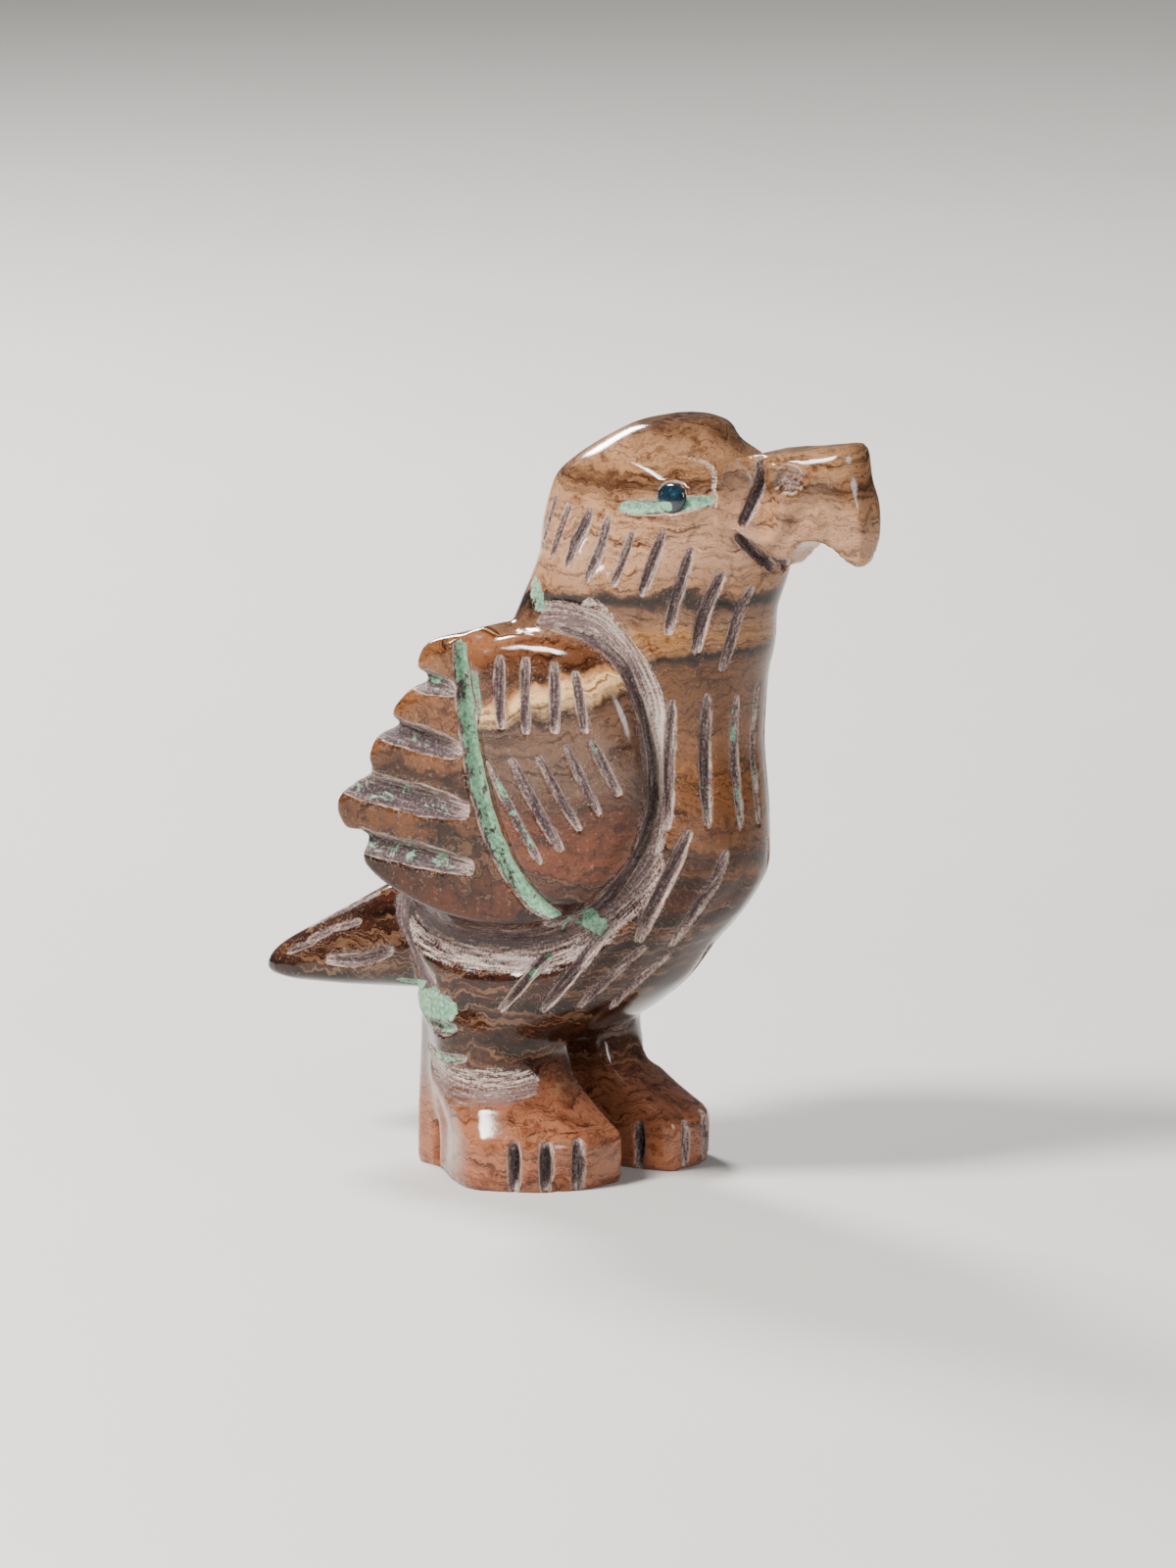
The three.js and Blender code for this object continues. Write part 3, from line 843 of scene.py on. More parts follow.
@dataclass
class Reading:
    """Where points lie beside one laid line: across it, along it, and their share of its length."""

    index: np.ndarray
    across: np.ndarray
    along: np.ndarray
    share: np.ndarray
    way: np.ndarray

    @classmethod
    def of(cls, co: np.ndarray, path: np.ndarray, ways: np.ndarray, reach: float) -> "Reading":
        """Reads the points near a path.

        Args:
            co: All points.
            path: The path's points.
            ways: The ways out of the stone along it.
            reach: How far from the path a point still counts.

        Returns:
            The reading of the points within reach.
        """
        low, high = path.min(0) - reach, path.max(0) + reach
        index = np.nonzero(((co >= low) & (co <= high)).all(1))[0]
        near = co[index]
        steps = path[1:] - path[:-1]
        lengths = np.linalg.norm(steps, axis=1)
        starts = np.concatenate([[0.0], np.cumsum(lengths)])
        gaps = near[:, None, :] - path[None, :-1, :]
        shares = np.clip((gaps * steps[None]).sum(2) / (lengths**2)[None], 0.0, 1.0)
        gaps = gaps - shares[..., None] * steps[None]
        best = np.linalg.norm(gaps, axis=2).argmin(1)
        rows = np.arange(len(near))
        share, gap = shares[rows, best], gaps[rows, best]
        way = ways[best] * (1 - share)[:, None] + ways[best + 1] * share[:, None]
        lift = (gap * way).sum(1)
        flat = gap - lift[:, None] * way
        side = np.cross(way, steps[best] / lengths[best][:, None])
        across = np.linalg.norm(flat, axis=1) * np.where((flat * side).sum(1) < 0, -1.0, 1.0)
        along = starts[best] + share * lengths[best]
        keep = (np.abs(across) < reach) & (np.abs(lift) < reach)
        return cls(index[keep], across[keep], along[keep], (along / starts[-1])[keep], way[keep])


class Carver:
    """Cuts lines into the stone and keeps the marks that each leaves on its points.

    The marks are raw skin, pale rims, green compound, crushed white, the place across and along the cut,
    the painted shade that darkens it by its depth, and the gap to its edge, which is below 0 inside it.
    """

    BITE = 1.2
    LOOK_PAST = (1.6, 0.5)
    WOBBLE = 0.035
    WAVES = (1.3, 2.9)
    FAR = 2.0
    MARGIN = 0.35
    HOLLOW_WALL = (0.15, 1.15)
    CUT_WALL = (0.2, 1.12)
    HOLLOW_SOFT = 0.25
    CUT_SOFT = 0.12
    # Painted shade in the cuts: full at the first depth, and the broad hollows take the second share of it.
    PAINTED_SHADE_FULL_DEPTH = 0.8
    HOLLOW_PAINTED_SHADE_SHARE = 0.65
    CRUSHED_ENDS = 0.55
    MARKS = ("raw", "rim", "green", "pale", "across", "along", "dark", "gap")

    def __init__(self, stone: Stone) -> None:
        """Starts on a stone.

        Args:
            stone: The stone to carve.
        """
        self.stone = stone
        self.tree = BVHTree.FromBMesh(stone.bm)
        self.laid: list[tuple[Line, np.ndarray, np.ndarray]] = []
        self.marks: dict[str, np.ndarray] = {}

    def lay(self, lines: Iterable[Line]) -> None:
        """Lays lines on the stone as it is now.

        Args:
            lines: The lines.
        """
        for line in lines:
            for hand in line.hands:
                laid = self.stone.lay(line, hand, self.tree)
                if laid is not None:
                    self.laid.append((line, *laid))

    def near(self) -> np.ndarray:
        """Finds the points in and beside the narrow cuts.

        Returns:
            One true or false for each point.
        """
        co = self.stone.points()
        near = np.zeros(len(co), bool)
        for line, path, ways in self.laid:
            if not line.broad:
                near[Reading.of(co, path, ways, line.width / 2 + self.MARGIN).index] = True
        return near

    def cut(self) -> None:
        """Cuts every laid line, the broad hollows first."""
        co = self.stone.points()
        self.marks = {name: np.zeros(len(co)) for name in self.MARKS}
        self.marks["gap"][:] = self.FAR
        share, margin = self.LOOK_PAST
        for broad in (True, False):
            depth = np.zeros(len(co))
            push = np.zeros_like(co)
            for line, path, ways in self.laid:
                if line.broad is broad:
                    read = Reading.of(co, path, ways, line.width / 2 * share + margin)
                    self._sink(line, path[0], read, depth, push)
            co = co + push
        self.stone.move_to(co)

    def _sink(
        self, line: Line, start: np.ndarray, read: Reading, depth: np.ndarray, push: np.ndarray
    ) -> None:
        """Sinks one line and marks its points.

        Args:
            line: The line.
            start: Its first point, which sets how its edges waver.
            read: The points near it.
            depth: How deep each point is cut so far. It is changed.
            push: How far each point is moved. It is changed.
        """
        first, second = self.WAVES
        fade = np.clip(4 * read.share * (1 - read.share), 0.0, 1.0) ** line.blunt
        wobble = np.sin(read.along * first + start[0]) + np.sin(read.along * second + start[2])
        wide = line.width / 2 * np.clip(fade, 0.05, 1.0) ** 0.5 * (1.0 + self.WOBBLE * wobble)
        ratio = np.abs(read.across) / wide
        wall = self.HOLLOW_WALL if line.broad else self.CUT_WALL
        deep = self.BITE * line.depth * fade * (1 - ramp(ratio, *wall))
        more = deep > depth[read.index]
        index = read.index[more]
        depth[index] = deep[more]
        push[index] = -read.way[more] * deep[more][:, None]
        soft = self.HOLLOW_SOFT if line.broad else self.CUT_SOFT
        inside = (1 - ramp(ratio, 1 - soft, 1 + soft)) * ramp(fade, 0.02, 0.2)
        if line.raw == 1.0:
            gap = np.abs(read.across) - wide + 0.6 * (1 - ramp(fade, 0.0, 0.12))
            self.marks["gap"][read.index] = np.minimum(self.marks["gap"][read.index], gap)
        else:
            self._mark("raw", index, (inside * line.raw)[more])
        self._mark("green", read.index, (1 - ramp(ratio, 0.6, 1.3)) * line.green)
        ends = 0.0 if line.broad else self.CRUSHED_ENDS * (1 - ramp(fade, 0.35, 0.85))
        self._mark("pale", read.index, (1 - ramp(ratio, 0.5, 1.2)) * (line.pale + ends))
        # The 'dark' mark is painted shade: the deeper the cut, the darker its colour, less so in the broad
        # hollows.
        dark = inside * np.clip(deep / self.PAINTED_SHADE_FULL_DEPTH, 0, 1) * (self.HOLLOW_PAINTED_SHADE_SHARE if line.broad else 1.0)
        self._mark("dark", index, dark[more])
        self.marks["across"][index] = read.across[more]
        self.marks["along"][index] = read.along[more]

    def _mark(self, name: str, index: np.ndarray, value: np.ndarray) -> None:
        """Raises a mark where the new value is higher."""
        self.marks[name][index] = np.maximum(self.marks[name][index], value)


@dataclass(frozen=True)
class Pit:
    """A round hole drilled square to the skin.

    Args:
        place: Its middle, along and height.
        diameter: How wide it is.
        depth: How deep it is.
    """

    RAW = 0.48
    RIM = 0.16
    ROUND = 0.75
    REACH = 0.62
    WALL = (0.44, 0.54)
    place: Pair
    diameter: float
    depth: float

    def drill(self, carver: Carver, hand: int) -> tuple[np.ndarray, np.ndarray]:
        """Drills the hole on one side of the bird.

        Args:
            carver: Holds the stone and its marks.
            hand: 1 on the bird's left, -1 on its right.

        Returns:
            The middle of its mouth and the way out of the stone.
        """
        stone = carver.stone
        mouth, _ = stone.cast(carver.tree, Look.SIDE, *self.place, hand)
        mouth = np.array(mouth[:])
        co = stone.points()
        close = np.linalg.norm(co - mouth, axis=1) < self.diameter * self.ROUND
        way = np.array([stone.bm.verts[i].normal[:] for i in np.nonzero(close)[0]]).mean(0)
        way /= np.linalg.norm(way)
        gap = co - mouth
        lift = gap @ way
        away = np.linalg.norm(gap - lift[:, None] * way, axis=1)
        inside = (away < self.diameter * self.REACH) & (np.abs(lift) < self.diameter)
        wall = 1 - ramp(away, *(self.diameter * share for share in self.WALL))
        co[inside] -= way * (wall * (self.depth + lift))[inside][:, None]
        stone.move_to(co)
        ring = np.exp(-(((away - self.diameter / 2) / self.RIM) ** 2)) * (np.abs(lift) < self.diameter)
        carver.marks["rim"] = np.maximum(carver.marks["rim"], ring)
        carver.marks["raw"] = np.maximum(carver.marks["raw"], wall * inside * self.RAW)
        return mouth, way


class EagleBody:
    """The whole bird, carved from one block."""

    SEED = 11
    SMOOTHING = 5
    TILT = 0.33
    SOLE = 0.2
    NOSTRIL = Pit((18.9, 52.3), 2.1, 0.35)
    SOCKET = Pit((10.8, 50.6), 2.25, 0.45)
    # The channel behind the covert: height, and how far along the bird it lies.
    CHANNEL = (
        (19.5, 2.6), (21.2, 0.4), (24.0, -1.6), (27.8, -3.1), (32.0, -4.1), (36.0, -4.6), (39.6, -4.9),
    )

    def __init__(self) -> None:
        """Starts with nothing carved."""
        self.eye_seats: dict[int, tuple[np.ndarray, np.ndarray]] = {}

    def rough_out(self) -> Stone:
        """Joins the bird's forms in one block.

        Returns:
            The block, smooth and uncut.
        """
        bm = bmesh.new()
        Trunk().add(bm)
        Tail().add(bm)
        Beak().add(bm)
        Leg(hand=1, forward=0.9, outward=0.7).add(bm)
        Leg(hand=-1, forward=0.0, outward=0.0).add(bm)
        for hand in HANDS:
            for plate in (COVERT, FEATHERS):
                replace(plate, hand=hand).add(bm)
        stone = Stone(bm)
        stone.relax(self.SMOOTHING)
        co = stone.points()
        for facet in FACETS:
            for hand in HANDS:
                co = facet.grind(co, hand)
        stone.move_to(co)
        stone.relax(1)
        return stone

    def build(self) -> bpy.types.Object:
        """Carves the bird.

        Returns:
            The finished piece, in metres in the shared frame.
        """
        rng = np.random.default_rng(self.SEED)
        carver = Carver(self.rough_out())
        carver.lay(LINES)
        for row in ROWS:
            carver.lay(row.lines(rng))
        carver.stone.refine(carver.near())
        carver.cut()
        for hand in HANDS:
            self.NOSTRIL.drill(carver, hand)
        for hand in HANDS:
            self.eye_seats[hand] = self.SOCKET.drill(carver, hand)
        return self.finish(carver)

    def finish(self, carver: Carver) -> bpy.types.Object:
        """Sets the soles flat, keeps the bird inside its block and stores the marks for its finish.

        Args:
            carver: Holds the carved stone and its marks.

        Returns:
            The finished piece.
        """
        co = carver.stone.points()
        co[:, 2] -= self.SOLE * (1 - ramp(co[:, 2], 0.0, 0.6))
        low, high = (np.array(corner) / MM - np.array(SHIFT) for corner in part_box(BODY_NODE))
        co = np.clip(co, low, high)
        carver.stone.move_to(co)
        mesh = bpy.data.meshes.new("eagle_stone")
        bm = carver.stone.bm
        for vert in bm.verts:
            vert.co = (vert.co + SHIFT) * MM
        bm.to_mesh(mesh)
        bm.free()
        marks = {**carver.marks, "layer": self.layers(co), "wing": self.on_covert(co)}
        for name, values in marks.items():
            mesh.attributes.new(name, "FLOAT", "POINT").data.foreach_set("value", values.astype(np.float32))
        mesh.shade_smooth()
        piece = bpy.data.objects.new("eagle_stone", mesh)
        bpy.context.scene.collection.objects.link(piece)
        return piece

    @staticmethod
    def on_covert(co: np.ndarray) -> np.ndarray:
        """Tells the wing covert from the rest of the bird.

        Args:
            co: The points of the stone.

        Returns:
            How surely each point is on the covert, 0 to 1.
        """
        x, side, z = co[:, 0], np.abs(co[:, 1]), co[:, 2]
        proud = ramp(side - COVERT.half(x), -2.2, -1.2)
        rear = np.interp(z, *zip(*EagleBody.CHANNEL))
        return proud * ramp(x - rear, -0.2, 0.2) * bump(z, 19.4, 41.0, 0.3) * (1 - ramp(x, 10.0, 10.8))

    @staticmethod
    def layers(co: np.ndarray) -> np.ndarray:
        """Finds the height of the stone's bedding through each point, which tilts at the shoulder.

        Args:
            co: The points of the stone.

        Returns:
            The height in millimetres from the feet.
        """
        x, side, z = co[:, 0], np.abs(co[:, 1]), co[:, 2]
        tilt = EagleBody.TILT * bump(z, 32.0, 40.0, 3.0)
        feather = ramp(side, 8.2, 9.2) * (1 - ramp(x, -3.0, 2.0)) * bump(z, 19.0, 40.5, 0.5)
        feather *= 1 - EagleBody.on_covert(co)
        bed = z - tilt * (x - 5.0)
        return bed * (1 - feather) + (21.0 + (z - 20.0) * 0.42) * feather


class Term:
    """A shader socket that can be written in Python expressions."""

    def __init__(self, paint: "Paint", socket: bpy.types.NodeSocket) -> None:
        """Wraps a socket of a material.

        Args:
            paint: The material.
            socket: The socket.
        """
        self.paint = paint
        self.socket = socket

    def __add__(self, other: "Term | float") -> "Term":
        """Sum."""
        return self.paint.maths("ADD", self, other)

    def __sub__(self, other: "Term | float") -> "Term":
        """Difference."""
        return self.paint.maths("SUBTRACT", self, other)

    def __rsub__(self, other: "Term | float") -> "Term":
        """Difference, the other way round."""
        return self.paint.maths("SUBTRACT", other, self)

    def __mul__(self, other: "Term | float") -> "Term":
        """Product."""
        return self.paint.maths("MULTIPLY", self, other)

    def __truediv__(self, other: "Term | float") -> "Term":
        """Quotient."""
        return self.paint.maths("DIVIDE", self, other)

    __radd__ = __add__
    __rmul__ = __mul__

    def most(self, other: "Term | float") -> "Term":
        """The larger of the two."""
        return self.paint.maths("MAXIMUM", self, other)

    def step(self, low: float, high: float) -> "Term":
        """Makes a smooth step from 0 at low to 1 at high.

        Args:
            low: Where it is 0. It may be the higher one.
            high: Where it is 1.

        Returns:
            The step.
        """
        node = self.paint.node(
            "ShaderNodeMapRange",
            {"interpolation_type": "SMOOTHSTEP"},
            {"Value": self, "From Min": min(low, high), "From Max": max(low, high)},
        )
        rise = Term(self.paint, node.outputs["Result"])
        return rise if low < high else 1.0 - rise


def srgb(red: int, green: int, blue: int) -> Colour:
    """Turns a colour as it is seen on a screen into the linear light that a shader takes.

    Args:
        red: Its red, 0 to 255.
        green: Its green.
        blue: Its blue.

    Returns:
        The colour for a shader.
    """

    def linear(value: float) -> float:
        """One channel as linear light."""
        share = value / 255.0
        return share / 12.92 if share <= 0.04045 else ((share + 0.055) / 1.055) ** 2.4

    return (linear(red), linear(green), linear(blue), 1.0)


class Paint:
    """One material and the nodes it is mixed from."""

    def __init__(self, name: str) -> None:
        """Starts an empty material.

        Args:
            name: Its name.
        """
        self.material = bpy.data.materials.new(name)
        self.material.use_nodes = True
        self.tree = self.material.node_tree
        self.tree.nodes.clear()

    def node(self, kind: str, settings: dict, values: dict) -> bpy.types.Node:
        """Adds a node.

        Args:
            kind: Its type.
            settings: Its properties, and a ramp's stops under "stops".
            values: What its sockets hold, a Term where they are linked, by name, identifier or number.

        Returns:
            The node.
        """
        made = self.tree.nodes.new(kind)
        for name, value in settings.items():
            if name == "stops":
                self._fill(made.color_ramp, value)
            else:
                setattr(made, name, value)
        for name, value in values.items():
            socket = made.inputs[name] if isinstance(name, int) else self._input(made, name)
            if isinstance(value, Term):
                self.tree.links.new(value.socket, socket)
            else:
                socket.default_value = value
        return made

    @staticmethod
    def _input(node: bpy.types.Node, name: str) -> bpy.types.NodeSocket:
        """A socket of a node by its identifier, or else by its name."""
        by_identifier = {socket.identifier: socket for socket in node.inputs}
        return by_identifier.get(name) or node.inputs[name]

    @staticmethod
    def _fill(colours: bpy.types.ColorRamp, stops: list[tuple[float, Colour]]) -> None:
        """Gives a ramp its stops.

        Args:
            colours: The ramp.
            stops: The place and the colour of each stop.
        """
        while len(colours.elements) > 1:
            colours.elements.remove(colours.elements[-1])
        colours.elements[0].position, colours.elements[0].color = stops[0]
        for place, colour in stops[1:]:
            colours.elements.new(place).color = colour

    def maths(self, operation: str, *values: Term | float) -> Term:
        """One sum on numbers."""
        node = self.node("ShaderNodeMath", {"operation": operation}, dict(enumerate(values)))
        return Term(self, node.outputs[0])

    def mark(self, name: str) -> Term:
        """A value that the carving left on the piece."""
        node = self.node("ShaderNodeAttribute", {"attribute_name": name}, {})
        return Term(self, node.outputs["Fac"])

    def spot(self) -> Term:
        """Reads the place on the piece.

        Returns:
            The place in millimetres.
        """
        place = Term(self, self.node("ShaderNodeTexCoord", {}, {}).outputs["Object"])
        node = self.node("ShaderNodeVectorMath", {"operation": "SCALE"}, {0: place, "Scale": 1 / MM})
        return Term(self, node.outputs["Vector"])

    def parts(self, vector: Term) -> tuple[Term, ...]:
        """The three numbers of a vector."""
        node = self.node("ShaderNodeSeparateXYZ", {}, {0: vector})
        return tuple(Term(self, socket) for socket in node.outputs)

    def joined(self, x: Term | float, y: Term | float, z: Term | float) -> Term:
        """A vector of three numbers."""
        return Term(self, self.node("ShaderNodeCombineXYZ", {}, {0: x, 1: y, 2: z}).outputs[0])

    def noise(
        self, where: Term, scale: float, detail: float = 2.0, rough: float = 0.5, twist: float = 0.0
    ) -> Term:
        """Cloudy noise about 0.5.

        Args:
            where: The place it is read at.
            scale: Clouds to a millimetre.
            detail: How many finer layers it has.
            rough: How strong they are.
            twist: How much it is drawn out of shape.

        Returns:
            The noise.
        """
        values = {"Vector": where, "Scale": scale, "Detail": detail, "Roughness": rough, "Distortion": twist}
        return Term(self, self.node("ShaderNodeTexNoise", {}, values).outputs[0])

    def shades(self, value: Term, stops: list[tuple[float, Colour]]) -> Term:
        """A colour read from stops by a value from 0 to 1."""
        return Term(self, self.node("ShaderNodeValToRGB", {"stops": stops}, {0: value}).outputs[0])

    def blend(
        self, share: Term | float, first: Term | Colour, second: Term | Colour, mode: str = "MIX"
    ) -> Term:
        """Two colours mixed.

        Args:
            share: 0 gives the first, 1 the second.
            first: The first colour.
            second: The second colour.
            mode: The way they are mixed.

        Returns:
            The mixed colour.
        """
        node = self.node(
            "ShaderNodeMix",
            {"data_type": "RGBA", "blend_type": mode, "clamp_factor": True},
            {"Factor_Float": share, "A_Color": first, "B_Color": second},
        )
        return Term(self, next(socket for socket in node.outputs if socket.identifier == "Result_Color"))

    def surface(self, values: dict, height: Term, depth: float) -> bpy.types.Material:
        """Finishes the material.

        Args:
            values: What the shader's sockets hold.
            height: The relief, 0 to 1.
            depth: How deep the relief is, in millimetres.

        Returns:
            The material.
        """
        relief = self.node("ShaderNodeBump", {}, {"Height": height, "Distance": depth * MM, "Strength": 1.0})
        values = {**values, "Normal": Term(self, relief.outputs["Normal"])}
        shader = self.node("ShaderNodeBsdfPrincipled", {}, values)
        self.node("ShaderNodeOutputMaterial", {}, {"Surface": Term(self, shader.outputs[0])})
        return self.material


Beds = tuple[tuple[float, int, int, int], ...]


@dataclass(frozen=True)
class BandedStone:
    """Polished tan, brown and cream stone in wavy beds, with raw wheel cuts and traces of green compound.

    Each bed holds its height and its colour. A ramp takes no more than 32 stops, so the trunk has two.

    Args:
        tall: The height that the ramps cover.
        split: Where the upper ramp takes over from the lower one.
        beds: The trunk's beds below that, those of the belly and thighs darkened as painted shade.
        upper_beds: The trunk's beds above it.
        covert_beds: The beds of the wing covert.
        torn: The shades of stone torn by the wheel, from dark to white, each with its place on a ramp.
        relief: The depth of the raw stone's scratches, in millimetres.
    """

    tall: float = 58.0
    split: Pair = (40.1, 40.3)
    # Painted shade: the beds from about 8 to 25 mm, the belly and thighs, are darker than the stone to stand
    # for the shade under the body, over the stone's own dark and cream banding.
    beds: Beds = (
        (0.0, 141, 84, 58), (3.5, 147, 91, 63), (6.0, 124, 75, 52), (8.3, 66, 39, 27), (9.6, 54, 31, 20),
        (10.1, 27, 14, 9), (10.7, 60, 33, 21), (12.3, 48, 27, 17), (12.8, 24, 13, 8), (13.4, 54, 31, 20),
        (15.0, 50, 26, 17), (16.6, 53, 29, 18), (18.2, 38, 20, 12), (19.2, 59, 29, 17), (20.3, 34, 18, 10),
        (21.1, 70, 34, 18), (22.6, 40, 22, 12), (23.4, 90, 54, 30), (24.6, 46, 24, 13), (25.4, 104, 65, 38),
        (29.5, 112, 71, 42), (33.0, 100, 65, 40), (36.2, 91, 58, 36), (36.8, 43, 27, 19),
        (37.2, 33, 21, 16), (37.9, 131, 92, 58), (40.2, 140, 100, 64),
    )
    upper_beds: Beds = (
        (40.2, 136, 101, 74), (41.8, 98, 67, 49), (42.3, 50, 32, 23), (42.6, 30, 19, 14),
        (43.0, 33, 22, 15), (43.25, 63, 40, 28), (43.6, 144, 103, 72), (46.5, 168, 128, 98),
        (49.0, 163, 121, 91), (50.4, 152, 112, 81), (51.8, 78, 51, 33), (52.6, 136, 98, 68),
        (54.2, 142, 104, 74), (55.4, 81, 55, 37), (57.0, 129, 91, 62),
    )
    covert_beds: Beds = (
        (19.5, 47, 24, 14), (21.3, 32, 15, 10), (22.2, 76, 39, 23), (22.7, 32, 16, 10), (23.4, 89, 46, 27),
        (26.0, 89, 45, 24), (28.0, 70, 37, 22), (30.0, 81, 59, 47), (34.4, 95, 69, 54), (35.2, 45, 28, 21),
        (35.8, 153, 122, 87), (37.0, 222, 180, 126), (37.7, 163, 112, 71), (38.2, 65, 37, 23),
        (40.0, 93, 56, 33), (41.5, 125, 79, 51),
    )
    # The colour of the painted shade deep in the cuts.
    PAINTED_GROOVE_SHADE = (44, 32, 36)
    PALE_RIM = (200, 176, 156)
    HAZE = (176, 154, 146)
    COMPOUND = ((84, 128, 100), (146, 190, 158))
    POLISHED = 0.13
    MATT = 0.52
    torn: Beds = (
        (0.34, 56, 42, 44), (0.46, 98, 78, 78), (0.54, 134, 112, 106), (0.63, 182, 164, 154),
        (0.76, 216, 204, 192),
    )
    relief: float = 0.12

    @staticmethod
    def stops(beds: Beds, tall: float = 1.0) -> list[tuple[float, Colour]]:
        """The beds as stops of a ramp over a height."""
        return [(height / tall, srgb(*colour)) for height, *colour in beds]

    def bedded(self, paint: Paint, bed: Term) -> Term:
        """Colours the stone by its beds.

        Args:
            paint: The material.
            bed: The height in the bedding.

        Returns:
            The colour.
        """
        share = bed / self.tall
        lower, upper, covert = (
            paint.shades(share, self.stops(beds, self.tall))
            for beds in (self.beds, self.upper_beds, self.covert_beds)
        )
        trunk = paint.blend(bed.step(*self.split), lower, upper)
        return paint.blend(paint.mark("wing").step(0.4, 0.6), trunk, covert)

    def veined(self, paint: Paint, colour: Term, spot: Term, bed: Term, cloud: Term, grain: Term) -> Term:
        """Lays thin streaks, cloudy patches, pale crystals, dark specks and seams over the beds.

        Args:
            paint: The material.
            colour: The colour of the beds.
            spot: The place on the piece.
            bed: The height in the bedding.
            cloud: Cloudy noise.
            grain: Fine noise.

        Returns:
            The colour.
        """
        x, y, _ = paint.parts(spot)
        streak = paint.noise(paint.joined(x * 0.24, y * 0.24, bed * 2.3), 1.0, 5.0, 0.66)
        seam = paint.noise(paint.joined(x * 0.07, y * 0.07, bed * 1.3), 1.0, 3.0, 0.6)
        dark_seam = seam.step(0.455, 0.485) * seam.step(0.52, 0.49)
        cream_seam = seam.step(0.54, 0.565) * seam.step(0.61, 0.585) * bed.step(26.0, 20.0)
        for share, tint, mode in (
            (streak.step(0.5, 0.68) * 0.9, (118, 90, 74), "MULTIPLY"),
            (cloud.step(0.52, 0.7) * 0.8, (140, 112, 92), "MULTIPLY"),
            (grain.step(0.56, 0.7) * 0.75, (126, 100, 86), "MULTIPLY"),
            (streak.step(0.47, 0.28) * 0.8, (164, 154, 138), "DODGE"),
            (cloud.step(0.45, 0.28) * 0.6, (150, 144, 136), "DODGE"),
            (grain.step(0.42, 0.28) * 0.2, (206, 172, 140), "MIX"),
            (dark_seam * 0.55, (100, 74, 60), "MULTIPLY"),
            (cream_seam * 0.38, (134, 100, 73), "MIX"),
        ):
            colour = paint.blend(share, colour, srgb(*tint), mode)
        return colour

    def make(self) -> bpy.types.Material:
        """Mixes the material.

        Returns:
            The material.
        """
        paint = Paint("banded_stone")
        spot = paint.spot()
        slow = paint.noise(spot, 0.11, 2.0)
        wavy = paint.noise(spot, 0.42, 3.0, 0.55, 0.4)
        fine = paint.noise(spot, 1.6, 3.0, 0.6)
        cloud = paint.noise(spot, 0.6, 5.0, 0.68, 0.6)
        grain = paint.noise(spot, 3.4, 4.0, 0.72)
        bed = paint.mark("layer") + (slow - 0.5) * 3.4 + (wavy - 0.5) * 2.6 + (fine - 0.5) * 0.7
        colour = self.veined(paint, self.bedded(paint, bed), spot, bed, cloud, grain)
        # Raw stone in the cuts, drawn out along the wheel's run, and pale at the ends; painted shade darkens
        # it where deep, and painted light and shade make one wall paler than the other.
        across, along, pale = (paint.mark(name) for name in ("across", "along", "pale"))
        drag = paint.noise(paint.joined(across * 4.6, along * 0.3, 0.0), 1.0, 5.0, 0.75)
        chatter = paint.noise(spot, 5.0, 4.0, 0.78)
        # Painted light and shade: one wall of each cut is made paler and the other darker, as though lit
        # from one side.
        side = (across.step(-0.45, 0.45) - 0.5) * 0.16
        tone = 0.465 + (drag - 0.5) * 1.1 + (chatter - 0.5) * 0.7 + side + pale * 0.2
        cut = paint.shades(tone, self.stops(self.torn))
        # Painted shade: the cut is darkened towards the shade colour where the 'dark' mark says it is deep.
        cut = paint.blend(paint.mark("dark").step(0.3, 1.0) * 0.6, cut, srgb(*self.PAINTED_GROOVE_SHADE))
        gap = paint.mark("gap") + (drag - 0.5) * 0.1 + (chatter - 0.5) * 0.16
        raw = (paint.mark("raw") + (chatter - 0.5) * 0.7 + (drag - 0.5) * 0.9).step(0.38, 0.56)
        raw = raw.most(gap.step(0.03, -0.05))
        colour = paint.blend(raw, colour, cut)
        # Worn rims, the scuffed skin round the cuts, and what is left of the compound.
        worn = gap.step(-0.1, -0.02) * gap.step(0.1, 0.03) * cloud.step(0.42, 0.62)
        rim = (paint.mark("rim") * (chatter * 1.6 + drag * 0.4)).step(0.5, 0.95).most(worn)
        colour = paint.blend(rim * 0.5, colour, srgb(*self.PALE_RIM))
        haze = gap.step(0.75, 0.0) * chatter.step(0.53, 0.66)
        colour = paint.blend(haze * 0.4, colour, srgb(*self.HAZE))
        smudge = paint.noise(spot, 0.9, 5.0, 0.72, 0.5)
        green = (paint.mark("green") + (smudge - 0.5) * 2.0 + (drag - 0.5) * 0.6).step(0.58, 0.72)
        residue = paint.blend(grain.step(0.35, 0.65), *(srgb(*shade) for shade in self.COMPOUND))
        colour = paint.blend(green * 0.94, colour, residue)
        matt = raw.most(green).most(rim * 0.7).most(haze * 0.4)
        rough = self.POLISHED + matt * self.MATT + (grain - 0.5) * 0.1
        relief = 0.5 + (drag - 0.5) * matt * 1.2 + (chatter - 0.5) * matt * 0.7 + (grain - 0.5) * 0.05
        values = {
            "Base Color": colour,
            "Roughness": rough,
            "Specular IOR Level": 0.36,
            "Subsurface Weight": 0.02,
            "Subsurface Radius": (1.0, 0.55, 0.35),
            "Subsurface Scale": 0.5 * MM,
            "IOR": 1.5,
        }
        return paint.surface(values, relief, self.relief)


